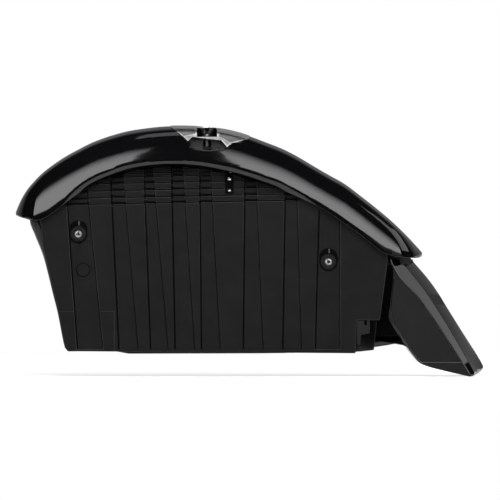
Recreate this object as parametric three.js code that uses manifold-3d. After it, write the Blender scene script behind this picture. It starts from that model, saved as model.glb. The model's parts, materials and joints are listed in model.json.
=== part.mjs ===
// Hard touring saddlebag: moulded case with a ribbed inner panel, tail, arched hinged lid and push latch.
// Millimetres. +X runs to the rear, +Y outboard and +Z up. The origin is below the middle of the whole
// bag, at the height of the lowest point of the tail.

import * as THREE from 'three';
import { mergeVertices } from 'three/addons/utils/BufferGeometryUtils.js';
import Module from 'manifold-3d';

const wasm = await Module();
wasm.setup();

// Overall sizes

const overallLength = 890;
const overallHeight = 475;
const overallDepth = 244;

// Walls and fits

const caseWall = 3.2;
const panelThickness = 4;
const lidWall = 3.2;
const linerWall = 2;
const clearance = 0.3;
const overrun = 20;
const weldDistance = 0.0005;

// Parting line

const partingGap = 3.6;
const rimOverlap = 8;
const lidProud = 10;
const levelInboardWidth = 50;
const levelOutboardWidth = 29;

// Case

const rearWallShare = 0.7848;
const shellFlangeWidth = 12;
const bellyDepth = 9;
const frontCornerX = 150;
const frontCornerY = 95;
const rearCornerRadius = 12;
const inboardRearRadius = 4;
const cornerExponent = 2.4;
const muffleRecessDepth = 46;

// Inner panel

const ledgeStep = 4.3;
const ledgeTiltDegrees = 1.2;
const channelDepth = 1.3;
const ledgeBarHeight = 4.7;
const ledgeBarDepth = 1.4;
const ledgePivotShare = 0.3;
const channelFootShare = 0.1095;
const channelHeadShare = 0.905;
const lastChannelDrop = 13;
const seamGap = 0.5;

// Lid

const lidRearShare = 0.869;
const lidNoseShare = -0.123;
const lidTailShare = 0;
const lidNoseZone = 190;
const lidInboardZone = 60;
const lidTailZone = 70;
const noseRoundShare = 0.965;
const creaseDrop = 10;
const lidLeanLag = 10;
const linerRise = 30;

// Tail

const tailSetBack = 22;
const tailShoulderDepth = 12;
const tailCreaseWidth = 1.5;
const tailEdgeWidth = 1;
const tailFacetShare = -0.18;
const tailRidgeShare = -0.025;
const tailOutboardShare = 0.213;
const tailFootWidthShare = 0.45;
const tailMiddleShare = 0.72;
const tailHeelShare = 0.12;
const tailJoinLap = 17.5;
const tailJoinInset = 20;
const tailJoinRiseShares = [0.1, 0.2];
const tailTaperShares = [0, 0.3];
const tailBellyShare = 0.16;
const tailHollowShares = [0.03, 0.44];
const tailWindowShares = [0.05, 0.4];
const tailPanelThickness = 3;

// Mount fasteners

const grommetRadius = 15.2;
const grommetFlange = 4.5;
const grommetNeckRadius = 11;
const grommetBoreRadius = 6.6;
const studRadius = 5;
const studProud = 1.6;
const studSlotWidth = 1.8;
const studSlotDepth = 1.6;
const studLength = 32;
const washerRadius = 17;
const washerThickness = 1.6;
const knobRadius = 19;
const knobHeight = 11;
const knobLobes = 5;
const knobLobeSides = 8;
const knobLobeDepth = 2.4;
const pocketRadius = 17.5;
const pocketLift = 8.5;
const pocketDepth = 2.4;
const pocketWing = 21.5;
const pocketWingHeight = 5;
const witnessHoleRadius = 1.6;
const witnessHoleDrop = 17;

// Blanking plug

const plugRadius = 13;
const plugHeadThickness = 1.2;
const plugStemRadius = 8;
const plugRecess = 2.4;
const plugBarb = 1.4;
const plugBarbLength = 3.2;

// Hinges

const hingeStationShares = { front: 0.2584, rear: 0.618 };
const hingeWidth = 60;
const leafThickness = 1.2;
const leafGap = 0.15;
const leafHeight = 24;
const knuckleRadius = 4.1;
const pinRadius = 1.9;
const pinPlay = 0.08;
const pinHeadRadius = 3.2;
const pinHeadLength = 1.6;
const knuckleNotch = 5.2;
const hingeScrewRadius = 3.4;
const hingeScrewHead = 1.8;
const hingeScrewInset = 18;
const hingeScrewShank = 1.5;
const hingeScrewLength = 3;
const hingeScrewHeightShare = 0.62;
const screwCrownShare = 0.6;
const screwRimShare = 0.45;
const sealRadius = 2.8;
const sealJoint = 2;
const sealSetIn = 1;

// Lid stay

const stayRadius = 90;
const stayLidAngle = 25;
const stayCaseAngle = -35;
const stayArmSetIn = 9;
const stayThickness = 2.5;
const stayWidth = 15;
const stayEnd = 9;
const stayPinRadius = 3;
const stayPinPlay = 0.5;
const stayRivetPlay = 0.1;
const stayHeadRadius = 6;
const stayHeadThickness = 2;
const lidOpenDegrees = 78;
const stayPlateWidth = 34;
const stayPlateHeight = 40;
const stayPlateThickness = 2.5;
const stayFootLength = 30;
const stayScrewRadius = 3.4;
const stayScrewHead = 1.8;

// Latch

const latchLeftShare = 0.3312;
const latchWidth = 150;
const latchTopDrop = 2.7;
const latchHeight = 46.6;
const latchDepth = 74;
const bezelProud = 1.2;
const bezelThickness = 2.6;
const bezelBorder = 2.4;
const inlayDrop = 0.5;
const inlayThickness = 1.8;
const buttonInset = 69.2;
const buttonSetBack = 53.5;
const buttonFootDrop = 13.3;
const buttonTopRadius = 18;
const buttonHeight = 13;
const buttonStemRadius = 6.5;
const buttonStemLength = 24;
const buttonTravel = 5;
const buttonStop = 0.6;
const wellClearance = 1;
const deckThickness = 6;
const springSeat = 3;
const recessBackWall = 4;
const recessBorder = 1.6;
const lockRadius = 6;
const lockLength = 9;
const keySlotWidth = 1.6;
const keySlotDepth = 2;
const springWire = 0.6;
const springRadius = 8.8;
const springTurns = 3;
const springTurnSteps = 10;
const hookWidth = 14;
const hookThickness = 4;
const hookPivotSetBack = 6;
const hookPivotDrop = 45.3;
const hookPinRadius = 2.5;
const hookPinPlay = 0.1;
const hookEyeRadius = 5;
const hookNoseDrop = 9;
const hookNoseShare = 0.6;
const hookEarThickness = 3;
const hookEarReach = 4;
const strikerBarRadius = 3;
const strikerBarLength = 40;
const strikerBarReach = 15;
const strikerBarDrop = 27;
const strikerArmThickness = 3;
const strikerArmWidth = 9;
const strikerArmFoot = 14.4;
const strikerBaseThickness = 2.5;

// Striker plate and rear bracket

const strikerPlateWidth = 15.5;
const strikerPlateThickness = 1.6;
const strikerPlateStandOff = 0.6;
const strikerPlateLedges = [2, 4];
const rivetRadius = 2.2;
const rivetHeadRadius = 3.6;
const rivetHeadHeight = 1.4;
const rivetInset = 6;
const rivetCrownShare = 0.7;
const rivetRimShare = 0.85;
const bracketThickness = 3;
const bracketSetBack = 2;
const bracketLegDepth = 22;
const bracketScrewRadius = 3.2;
const bracketScrewHead = 1.8;
const bracketScrewShares = [0.25, 0.72];
const bracketScrewDepthShare = 0.6;

// Roundness of what is turned

const cordSides = 6;
const screwSides = 10;
const coarseSides = 12;
const fineSides = 24;
const buttonSides = 28;
const mitreLimit = 0.35;

// Outlines and places, as shares of the overall length and height

const hingeLineShares = [[0.0427, 0.621], [0.837, 0.4712]];
const mountShares = { front: [0.136, 0.5678], rear: [0.6669, 0.4573] };
const plugShares = [0.1464, 0.4246];
const strikerPlateShares = { along: 0.4567, foot: 0.7305, top: 0.799 };
const crownShares = [
  [0, 0.655], [0.024, 0.742], [0.058, 0.812], [0.106, 0.877], [0.16, 0.931], [0.241, 0.98], [0.341, 1],
  [0.444, 0.987], [0.534, 0.935], [0.636, 0.84], [0.737, 0.72], [0.805, 0.616], [0.869, 0.5],
];
const lidEdgeShares = [
  [0, 0.648], [0.022, 0.63], [0.043, 0.621], [0.068, 0.634], [0.099, 0.6755], [0.16, 0.756], [0.241, 0.814],
  [0.333, 0.834], [0.427, 0.817], [0.521, 0.771], [0.642, 0.679], [0.737, 0.5615], [0.782, 0.496],
  [0.815, 0.4766], [0.839, 0.473], [0.869, 0.49],
];
const caseFrontShares = [
  [0.0917, 0.118], [0.1017, 0.1137], [0.113, 0.108], [0.149, 0.103], [0.255, 0.092], [0.336, 0.081],
  [0.417, 0.0704], [0.488, 0.0596], [0.564, 0.043], [0.621, 0.032], [0.9, 0.032],
];
const caseFrontRadiusShares = [
  [0.09, 0.005], [0.25, 0.005], [0.41, 0.012], [0.51, 0.022], [0.62, 0.029], [0.9, 0.029],
];
const undersideShares = [
  [0.06, 0.1], [0.131, 0.101], [0.1896, 0.1076], [0.21, 0.103], [0.243, 0.0917], [0.52, 0.093],
  [0.734, 0.0985], [0.761, 0.104], [0.801, 0.12], [0.84, 0.14],
];
const bellyShares = [
  [-1, 0], [0.14, 0], [0.34, 0.7], [0.52, 1], [0.7, 0.8], [0.82, 0], [0.91, -1.4], [0.97, -3.4], [1, -5.6],
];
const panelOutlineShares = [
  [0.1137, 0.1017], [0.1085, 0.113], [0.0948, 0.255], [0.0625, 0.508], [0.0556, 0.62], [0.0556, 0.9],
  [0.792, 0.9], [0.792, 0.4543], [0.781, 0.302], [0.7757, 0.226], [0.727, 0.226], [0.724, 0.0935],
];
const ledgeHeightShares = [0.6884, 0.7135, 0.7413, 0.7699, 0.7945, 0.8092, 0.8242];
const channelShares = [
  { head: [0.1107, 0.159], foot: [0.1325, 0.1894], bars: [0] },
  { head: [0.2059, 0.2375], foot: [0.2205, 0.2638], bars: [0, 1, 2, 3, 4, 5, 6] },
  { head: [0.2763, 0.3017], foot: [0.2877, 0.3276], bars: [0, 1, 2, 3, 4, 5, 6] },
  { head: [0.3338, 0.3641], foot: [0.3399, 0.384], bars: [0, 1, 2, 3, 4, 5, 6] },
  { head: [0.3929, 0.4218], foot: [0.3957, 0.4381], bars: [0, 1, 2, 3] },
  { head: [0.4875, 0.5168], foot: [0.4845, 0.5293], bars: [0, 1, 2] },
  { head: [0.5732, 0.6018], foot: [0.5683, 0.6105], bars: [0] },
  { head: [0.6459, 0.6915], foot: [0.6372, 0.6923], bars: [] },
];
const crownProfileShares = [[0.075, 0], [0.15, 0.55], [0.25, 0.9], [0.36, 1]];
const facePullShares = [[0, 0], [0.006, 0.35], [0.028, 0.7]];
const outboardFallShares = [
  [0.52, 0.025], [0.7, 0.11], [0.84, 0.26], [0.935, 0.46], [0.982, 0.67], [1, 0.86],
];
const tailRearShares = [
  [0, 0.977], [0.006, 0.9866], [0.0365, 1], [0.135, 0.969], [0.272, 0.923], [0.338, 0.9014],
  [0.3935, 0.8798], [0.46, 0.849],
];
const tailFrontShares = [
  [0, 0.9663], [0.0187, 0.923], [0.0365, 0.885], [0.0516, 0.8634], [0.077, 0.85], [0.135, 0.828],
  [0.2315, 0.7954], [0.282, 0.797], [0.419, 0.804], [0.46, 0.7985],
];
const tailCreaseShares = [[0, 0.97], [0.0087, 0.969], [0.302, 0.8662], [0.388, 0.8229], [0.46, 0.8]];
const tailShoulderShares = [[0, 0.975], [0.0195, 0.977], [0.3054, 0.8855], [0.46, 0.822]];
const tailFacetShares = [[0, 0.976], [0.0195, 0.9866], [0.272, 0.923], [0.46, 0.849]];
const tailSliceShares = [0, 0.008, 0.0187, 0.0365, 0.0516, 0.077, 0.135, 0.2, 0.272, 0.34, 0.4, 0.46];

const latchOutlineShares = [
  [0, 1], [0.0793, 0.813], [0.1507, 0.629], [0.2127, 0.442], [0.2527, 0.279], [0.2953, 0.069],
  [0.4867, 0], [0.672, 0.069], [0.7287, 0.21], [0.7647, 0.324], [0.838, 0.373], [0.946, 0.479], [1, 0.521],
];
const recessShares = [
  [0.22, 0.431], [0.278, 0.592], [0.645, 0.453], [0.71, 0.208], [0.66, 0.09], [0.4867, 0.03], [0.3, 0.09],
  [0.26, 0.28],
];
const bracketShares = [
  [0.7276, 0.2247], [0.755, 0.2247], [0.755, 0.1934], [0.7538, 0.173], [0.7362, 0.166], [0.7347, 0.1279],
  [0.7276, 0.1279],
];
const recessMouthShares = [
  [0.22, 0.431], [0.278, 0.592], [0.645, 0.453], [0.71, 0.208], [0.71, -0.5], [0.22, -0.5],
];
const bracketSlotShares = [[0.743, 0.23], [0.743, 0.206], [0.7483, 0.206], [0.7483, 0.23]];
const buttonShares = [[0.64, 0], [0.67, 0.22], [0.77, 0.5], [0.96, 0.75], [1, 0.87], [0.95, 1]];
const leftInlayShares = [[0.043, 0.931], [0.3, 0.931], [0.315, 0.735], [0.172, 0.64]];
const rightInlayShares = [
  [0.625, 0.785], [0.93, 0.55], [0.945, 0.515], [0.765, 0.385], [0.67, 0.54], [0.61, 0.63],
];

// Shares and places

const along = (share) => (share - 0.5) * overallLength;
const up = (share) => share * overallHeight;
const shareAlong = (x) => x / overallLength + 0.5;
const shareUp = (z) => z / overallHeight;
const outlineAt = (shares) => shares.map(([x, z]) => [along(x), up(z)]);
const inboardFace = -overallDepth / 2;
const panelY = inboardFace + lidProud;
const bellyY = overallDepth / 2;
const hingeY = bellyY - bellyDepth;
const [hingeLineFront, hingeLineRear] = outlineAt(hingeLineShares);
const levelInboardY = inboardFace + levelInboardWidth;
const levelOutboardY = hingeY - levelOutboardWidth;
const rearWallX = along(rearWallShare);
const lidRearX = along(lidRearShare);
const lidNoseY = lidNoseShare * overallDepth;
const lidTailY = lidTailShare * overallDepth;
const tailInboardY = inboardFace + tailSetBack;
const tailFacetY = tailFacetShare * overallDepth;
const tailRidgeY = tailRidgeShare * overallDepth;
const tailOutboardRearY = tailOutboardShare * overallDepth;
const tailJoinX = rearWallX - tailJoinLap;
const tailJoinY = panelY + muffleRecessDepth + tailJoinInset;
const mounts = Object.entries(mountShares).map(([side, [x, z]]) => ({ side, x: along(x), z: up(z) }));
const [[plugX, plugZ]] = outlineAt([plugShares]);
const channelFootZ = up(channelFootShare);
const channelHeadZ = up(channelHeadShare);
const latchLeftX = along(latchLeftShare);
const latchTopZ = overallHeight - latchTopDrop;
const latchBackY = inboardFace + latchDepth;
const buttonX = latchLeftX + buttonInset;
const buttonY = inboardFace + buttonSetBack;
const buttonFootZ = latchTopZ - buttonFootDrop;
const recessBackY = latchBackY - recessBackWall;
const hookPivotY = latchBackY + hookPivotSetBack;
const hookPivotZ = latchTopZ - hookPivotDrop;
const strikerBarY = hookPivotY - strikerBarReach;
const strikerBarZ = hookPivotZ - strikerBarDrop;
const strikerPlateX = along(strikerPlateShares.along);
const strikerPlateTopZ = up(strikerPlateShares.top);
const strikerPlateFootZ = up(strikerPlateShares.foot);

// Straight interpolation in a table of pairs
function tableAt(table, at) {
  const last = table.length - 1;
  if (at <= table[0][0]) return table[0][1];
  if (at >= table[last][0]) return table[last][1];
  const next = table.findIndex(([key]) => key >= at);
  const [keyA, valueA] = table[next - 1];
  const [keyB, valueB] = table[next];
  return valueA + (valueB - valueA) * (at - keyA) / (keyB - keyA);
}

// Smooth interpolation in a table of pairs, level with its neighbours' slope at each pair
function smoothAt(table, at) {
  const last = table.length - 1;
  const clamped = Math.min(Math.max(at, table[0][0]), table[last][0]);
  const next = Math.max(1, table.findIndex(([key]) => key >= clamped));
  const slopeAt = (index) => {
    const before = table[Math.max(0, index - 1)];
    const after = table[Math.min(last, index + 1)];
    return (after[1] - before[1]) / (after[0] - before[0]);
  };
  const [keyA, valueA] = table[next - 1];
  const [keyB, valueB] = table[next];
  const span = keyB - keyA;
  const t = (clamped - keyA) / span;
  const bend = t * t * (3 - 2 * t);
  return valueA + (valueB - valueA) * bend
    + slopeAt(next - 1) * span * t * (1 - t) * (1 - t)
    - slopeAt(next) * span * t * t * (1 - t);
}

const crownZ = (x) => up(smoothAt(crownShares, shareAlong(x)));
const lidEdgeZ = (x) => up(smoothAt(lidEdgeShares, shareAlong(x)));
const hingeSlope = (hingeLineRear[1] - hingeLineFront[1]) / (hingeLineRear[0] - hingeLineFront[0]);
const hingeLineZ = (x) => hingeLineFront[1] + (x - hingeLineFront[0]) * hingeSlope;
const hingeTilt = Math.atan(-hingeSlope);

// Solids from geometry

function solidOf(geometry) {
  const bare = geometry.clone();
  bare.deleteAttribute('normal');
  bare.deleteAttribute('uv');
  const merged = mergeVertices(bare, weldDistance);
  return new wasm.Manifold(new wasm.Mesh({
    numProp: 3,
    vertProperties: Float32Array.from(merged.attributes.position.array),
    triVerts: Uint32Array.from(merged.index.array),
  }));
}

function geometryOf(solid) {
  const mesh = solid.getMesh();
  const geometry = new THREE.BufferGeometry();
  geometry.setAttribute('position', new THREE.BufferAttribute(Float32Array.from(mesh.vertProperties), 3));
  geometry.setIndex(new THREE.BufferAttribute(Uint32Array.from(mesh.triVerts), 1));
  geometry.computeVertexNormals();
  return geometry;
}

// Same solid, moved by a matrix
const placed = (solid, matrix) => solidOf(geometryOf(solid).applyMatrix4(matrix));

const joined = (first, ...others) => others.reduce((whole, piece) => whole.add(piece), first);
const without = (first, ...others) => others.reduce((whole, piece) => whole.subtract(piece), first);

// Block between two corners
function block([x0, y0, z0], [x1, y1, z1]) {
  const geometry = new THREE.BoxGeometry(x1 - x0, y1 - y0, z1 - z0);
  geometry.translate((x0 + x1) / 2, (y0 + y1) / 2, (z0 + z1) / 2);
  return solidOf(geometry);
}

const shapeOf = (points) => new THREE.Shape(points.map(([a, b]) => new THREE.Vector2(a, b)));

// Outline in X and Z, extruded along Y
function prismAlongY(points, yFrom, yTo) {
  const geometry = new THREE.ExtrudeGeometry(shapeOf(points), { depth: yTo - yFrom, bevelEnabled: false });
  geometry.rotateX(Math.PI / 2);
  geometry.translate(0, yTo, 0);
  return solidOf(geometry);
}

// Outline in Y and Z, extruded along X
function prismAlongX(points, xFrom, xTo) {
  const geometry = new THREE.ExtrudeGeometry(shapeOf(points), { depth: xTo - xFrom, bevelEnabled: false });
  const turn = new THREE.Matrix4().makeBasis(
    new THREE.Vector3(0, 1, 0),
    new THREE.Vector3(0, 0, 1),
    new THREE.Vector3(1, 0, 0),
  );
  geometry.applyMatrix4(turn);
  geometry.translate(xFrom, 0, 0);
  return solidOf(geometry);
}

// Profile of radius and distance, turned about an axis through a point
const axisTurns = {
  x: () => new THREE.Matrix4().makeRotationZ(-Math.PI / 2),
  y: () => new THREE.Matrix4(),
  z: () => new THREE.Matrix4().makeRotationX(Math.PI / 2),
};
function turned(profile, axis, [x, y, z], sides = 16) {
  const geometry = new THREE.LatheGeometry(profile.map(([r, d]) => new THREE.Vector2(r, d)), sides);
  geometry.applyMatrix4(axisTurns[axis]());
  geometry.translate(x, y, z);
  return solidOf(geometry);
}

// Round rod along an axis, from a point over a length
function rod(axis, radius, point, length, sides = 16) {
  return turned([[0, 0], [radius, 0], [radius, length], [0, length]], axis, point, sides);
}

const distanceBetween = (from, to) => Math.hypot(...from.map((value, axis) => to[axis] - value));

// Closed skin through rings of equal count, capped at both ends and split along each quad's short diagonal
function loft(rings, flatten) {
  const count = rings[0].length;
  const points = rings.flat();
  const positions = points.flatMap((point) => point);
  const triangles = [];
  for (let ring = 0; ring < rings.length - 1; ring += 1) {
    for (let side = 0; side < count; side += 1) {
      const a = ring * count + side;
      const b = ring * count + (side + 1) % count;
      const [c, d] = [b + count, a + count];
      if (distanceBetween(points[a], points[c]) <= distanceBetween(points[b], points[d])) {
        triangles.push(a, b, c, a, c, d);
      } else {
        triangles.push(a, b, d, b, c, d);
      }
    }
  }
  const capOf = (ring) => THREE.ShapeUtils.triangulateShape(
    ring.map((point) => new THREE.Vector2(...flatten(point))),
    [],
  );
  const top = (rings.length - 1) * count;
  for (const [a, b, c] of capOf(rings[0])) triangles.push(a, c, b);
  for (const [a, b, c] of capOf(rings[rings.length - 1])) triangles.push(top + a, top + b, top + c);
  const geometry = new THREE.BufferGeometry();
  geometry.setAttribute('position', new THREE.Float32BufferAttribute(positions, 3));
  geometry.setIndex(triangles);
  return solidOf(geometry);
}

// Outline moved inwards by a distance on every side, outline counter-clockwise
function insetOutline(points, distance) {
  const count = points.length;
  return points.map((point, index) => {
    const before = points[(index + count - 1) % count];
    const after = points[(index + 1) % count];
    const edgeIn = new THREE.Vector2(point[0] - before[0], point[1] - before[1]).normalize();
    const edgeOut = new THREE.Vector2(after[0] - point[0], after[1] - point[1]).normalize();
    const normalIn = new THREE.Vector2(-edgeIn.y, edgeIn.x);
    const normalOut = new THREE.Vector2(-edgeOut.y, edgeOut.x);
    const reach = distance / Math.max(mitreLimit, 1 + normalIn.dot(normalOut));
    return [point[0] + (normalIn.x + normalOut.x) * reach, point[1] + (normalIn.y + normalOut.y) * reach];
  });
}

const reversed = (points) => [...points].reverse();

// Lid

// Share of full width at a distance from a rounded end
const roundAt = (distance, zone) => {
  const reach = noseRoundShare * Math.min(1, Math.max(0, 1 - distance / zone));
  return (1 - reach ** cornerExponent) ** (1 / cornerExponent);
};

// How far the stepped panel has stepped back at a height, as a smooth line
const firstLedgeZ = up(ledgeHeightShares[0]);
const lastLedgeZ = up(ledgeHeightShares[ledgeHeightShares.length - 1]);
const panelStepBack = ledgeStep * ledgeHeightShares.length;
function leanAt(z) {
  const share = (z - firstLedgeZ) / (lastLedgeZ - firstLedgeZ);
  return panelStepBack * Math.min(1, Math.max(0, share));
}

function lidInboardY(x) {
  const lip = inboardFace + leanAt(lidEdgeZ(x) - lidLeanLag);
  const nose = roundAt(x - along(0), lidInboardZone);
  const tail = roundAt(lidRearX - x, lidInboardZone);
  return x < 0 ? lidNoseY + (lip - lidNoseY) * nose : lidTailY + (lip - lidTailY) * tail;
}

function lidOutboardY(x) {
  const nose = roundAt(x - along(0), lidNoseZone);
  const tail = roundAt(lidRearX - x, lidTailZone);
  return x < 0 ? lidNoseY + (hingeY - lidNoseY) * nose : lidTailY + (hingeY - lidTailY) * tail;
}

// One section of the lid across Y and Z, moved inwards, carried down past the parting surface
function lidRing(x, inset) {
  const step = weldDistance * overallLength;
  const rise = crownZ(Math.min(lidRearX, x + step)) - crownZ(Math.max(along(0), x - step));
  const run = Math.min(lidRearX, x + step) - Math.max(along(0), x - step);
  const slope = Math.hypot(rise, run);
  const ringX = x + inset * rise / slope;
  const topZ = crownZ(x) - inset * run / slope;
  const inboard = lidInboardY(x) + inset;
  const outboard = lidOutboardY(x) - inset;
  const depth = outboard - inboard;
  const faceFoot = Math.min(lidEdgeZ(x), topZ - creaseDrop / 2);
  const crease = Math.min(creaseDrop, (topZ - faceFoot) / 2);
  const faceHeight = topZ - crease - faceFoot;
  const outboardDrop = Math.max(crease, topZ - hingeLineZ(x));
  const foot = Math.min(lidEdgeZ(x), hingeLineZ(x)) - 2 * overrun;
  const profile = [
    [inboard, foot],
    ...facePullShares.map(([y, z]) => [inboard + y * depth, faceFoot + z * faceHeight]),
    ...crownProfileShares.map(([y, z]) => [inboard + y * depth, topZ - crease + z * crease]),
    ...outboardFallShares.map(([y, z]) => [inboard + y * depth, topZ - z * outboardDrop]),
    [outboard, foot],
  ];
  return reversed(profile).map(([y, z]) => [ringX, y, z]);
}

const lidStationShares = [
  0, 0.01, 0.026, 0.05, 0.08, 0.12, 0.17, 0.23, 0.29, 0.341, 0.4, 0.46, 0.52, 0.58, 0.64, 0.7, 0.75, 0.79,
  0.825, 0.85, 0.86,
];
function lidForm(inset) {
  const stations = [...lidStationShares.map(along), lidRearX];
  return loft(stations.map((x) => lidRing(x, inset)), ([, y, z]) => [y, z]);
}

// Space below the ruled surface between the arched inboard edge and the straight hinge line
function belowParting(inboardLift, outboardLift) {
  const stations = [
    along(0) - 2 * overrun, ...lidEdgeShares.map(([share]) => along(share)), along(1) + overrun,
  ];
  const middles = stations.flatMap((x, index) => (
    index === 0 || index > stations.length - 2 ? [x] : [(stations[index - 1] + x) / 2, x]
  ));
  const floorZ = -overrun;
  const rings = middles.map((x) => {
    const inboardZ = lidEdgeZ(x) + inboardLift;
    const outboardZ = hingeLineZ(x) + outboardLift;
    return [
      [x, inboardFace - overrun, floorZ],
      [x, bellyY + overrun, floorZ],
      [x, bellyY + overrun, outboardZ],
      [x, levelOutboardY, outboardZ],
      [x, levelInboardY, inboardZ],
      [x, inboardFace - overrun, inboardZ],
    ];
  });
  return loft(rings, ([, y, z]) => [y, z]);
}

// Case

// Outboard face at a place along and up: straight by the hinge line, bellied below it
function caseOutboardY(x, z) {
  const bottomZ = up(caseFrontShares[0][0]);
  const fall = (hingeLineZ(x) - z) / (hingeLineZ(x) - bottomZ);
  return hingeY + bellyDepth * smoothAt(bellyShares, fall);
}

const rearWallAt = (z) => rearWallX + (z - hingeLineZ(rearWallX)) * Math.tan(hingeTilt);

// One level section of the case, moved inwards, with its own inset on the inboard side
const cornerSteps = 7;
const sideSteps = 4;
function caseRing(z, inset, inboardInset) {
  const front = along(tableAt(caseFrontShares, shareUp(z))) + inset;
  const rear = rearWallAt(z) - inset;
  const inboard = panelY + inboardInset;
  const frontRadius = Math.max(inset, overallLength * tableAt(caseFrontRadiusShares, shareUp(z)));
  const frontX = Math.max(caseWall, frontCornerX - inset);
  const frontY = Math.max(caseWall, frontCornerY - inset);
  const corner = (step) => {
    const angle = (step / cornerSteps) * Math.PI / 2;
    return [Math.cos(angle) ** (2 / cornerExponent), Math.sin(angle) ** (2 / cornerExponent)];
  };
  const ring = [];
  for (let step = 0; step <= cornerSteps; step += 1) {
    const [c, s] = corner(step);
    ring.push([front + frontRadius * (1 - c), inboard + frontRadius * (1 - s), z]);
  }
  ring.push([rear - inboardRearRadius, inboard, z], [rear, inboard + inboardRearRadius, z]);
  const rearEnd = rear - rearCornerRadius;
  ring.push([rear, caseOutboardY(rear, z) - inset - rearCornerRadius, z]);
  for (let step = 0; step < sideSteps; step += 1) {
    const x = rearEnd + (front + frontX - rearEnd) * step / sideSteps;
    ring.push([x, caseOutboardY(x, z) - inset, z]);
  }
  for (let step = 0; step <= cornerSteps; step += 1) {
    const [c, s] = corner(cornerSteps - step);
    const x = front + frontX * (1 - c);
    ring.push([x, caseOutboardY(x, z) - inset - frontY * (1 - s), z]);
  }
  return ring;
}

const caseLevelShares = [0.0917, 0.1, 0.113, 0.135, 0.165, 0.2, 0.255, 0.336, 0.417, 0.488, 0.564, 0.621, 0.9];
const muffleRecessShares = [[0.727, 0], [0.83, 0], [0.83, 0.226], [0.727, 0.226]];

function caseForm(inset, inboardInset) {
  const lift = caseLevelShares.map((share, level) => up(share) + (level === 0 ? inset : 0));
  const levels = lift.filter((z, level) => level === 0 || z > lift[0] + inset);
  const form = loft(levels.map((z) => caseRing(z, inset, inboardInset)), ([x, y]) => [x, y]);
  const underside = outlineAt(undersideShares).map(([x, z]) => [x, z + inset]);
  const first = underside[0];
  const last = underside[underside.length - 1];
  const below = prismAlongY(
    [[first[0] - overrun, -overrun], [last[0] + overrun, -overrun], [last[0] + overrun, last[1]],
      ...reversed(underside), [first[0] - overrun, first[1]]],
    inboardFace - overrun,
    bellyY + overrun,
  );
  const recess = prismAlongY(
    insetOutline(outlineAt(muffleRecessShares), -inset),
    inboardFace - overrun,
    panelY + muffleRecessDepth + inset,
  );
  return without(form, below, recess);
}

// Tail

function tailRing(share, inset) {
  const z = up(share);
  const front = along(tableAt(tailFrontShares, share));
  const crease = Math.max(front + tailCreaseWidth, along(tableAt(tailCreaseShares, share)));
  const shoulder = Math.max(crease + tailCreaseWidth, along(tableAt(tailShoulderShares, share)));
  const rear = along(tableAt(tailRearShares, share));
  const facet = Math.min(rear - tailEdgeWidth, along(tableAt(tailFacetShares, share)));
  const facetX = Math.max(shoulder + tailEdgeWidth, facet);
  const rearX = Math.max(rear, facetX + tailEdgeWidth);
  const caseReach = THREE.MathUtils.smoothstep(share, ...tailJoinRiseShares);
  const joinX = front + (tailJoinX - front) * caseReach;
  const outboard = Math.min(bellyY, caseOutboardY(tailJoinX, Math.max(z, up(tailBellyShare))));
  const taper = THREE.MathUtils.smoothstep(share, ...tailTaperShares);
  const width = tailFootWidthShare + (1 - tailFootWidthShare) * taper;
  const outboardFront = tailOutboardRearY + (outboard - tailOutboardRearY) * width;
  const middleX = (front + rearX) / 2;
  const outline = [
    [front, tailInboardY],
    [crease, tailInboardY],
    [shoulder, tailInboardY + tailShoulderDepth],
    [facetX, tailFacetY],
    [rearX, tailRidgeY],
    [rearX - (rearX - front) * tailHeelShare, tailOutboardRearY],
    [middleX, tailOutboardRearY + (outboardFront - tailOutboardRearY) * tailMiddleShare],
    [joinX, outboardFront],
    [joinX, tailJoinY],
    [Math.max(front, joinX + weldDistance), tailJoinY],
  ];
  const moved = inset > 0 ? insetOutline(outline, inset) : outline;
  return moved.map(([x, y]) => [x, y, z + inset]);
}

function tailForm(inset) {
  const [lowest, highest] = inset > 0 ? tailHollowShares : [0, 1];
  const shares = tailSliceShares.filter((share) => share >= lowest && share <= highest);
  return loft(shares.map((share) => tailRing(share, inset)), ([x, y]) => [x, y]);
}

// Inner panel

const panelOutline = reversed(outlineAt(panelOutlineShares));

// Staircase of the panel's outer face, or a depth below it: upright, then one step back at each ledge
function staircase(offset) {
  const heights = ledgeHeightShares.map((share) => up(share) - offset);
  const points = [[panelY + offset, 0]];
  heights.forEach((z, index) => {
    points.push([panelY + offset + ledgeStep * index, z]);
    points.push([panelY + offset + ledgeStep * (index + 1), z]);
  });
  points.push([panelY + offset + panelStepBack, overallHeight]);
  return points;
}

// Skin of the staircase between two depths, running along X and tilted like the ledges
function staircaseSkin(from, to) {
  const pivotX = along(ledgePivotShare);
  const geometry = new THREE.ExtrudeGeometry(
    shapeOf([...staircase(from), ...reversed(staircase(to))]),
    { depth: overallLength + 2 * overrun, bevelEnabled: false },
  );
  const turn = new THREE.Matrix4().makeBasis(
    new THREE.Vector3(0, 1, 0),
    new THREE.Vector3(0, 0, 1),
    new THREE.Vector3(1, 0, 0),
  );
  geometry.applyMatrix4(turn);
  geometry.translate(along(0) - overrun - pivotX, 0, -firstLedgeZ);
  geometry.rotateY(-THREE.MathUtils.degToRad(ledgeTiltDegrees));
  geometry.translate(pivotX, 0, firstLedgeZ);
  return solidOf(geometry);
}

const ledgeRiseAt = (x) => (x - along(ledgePivotShare)) * Math.tan(THREE.MathUtils.degToRad(ledgeTiltDegrees));

// Places across a channel at a height
function channelEdges(channel, z) {
  const share = (z - channelFootZ) / (firstLedgeZ - channelFootZ);
  return [0, 1].map((side) => along(
    channel.foot[side] + (channel.head[side] - channel.foot[side]) * share,
  ));
}

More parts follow.
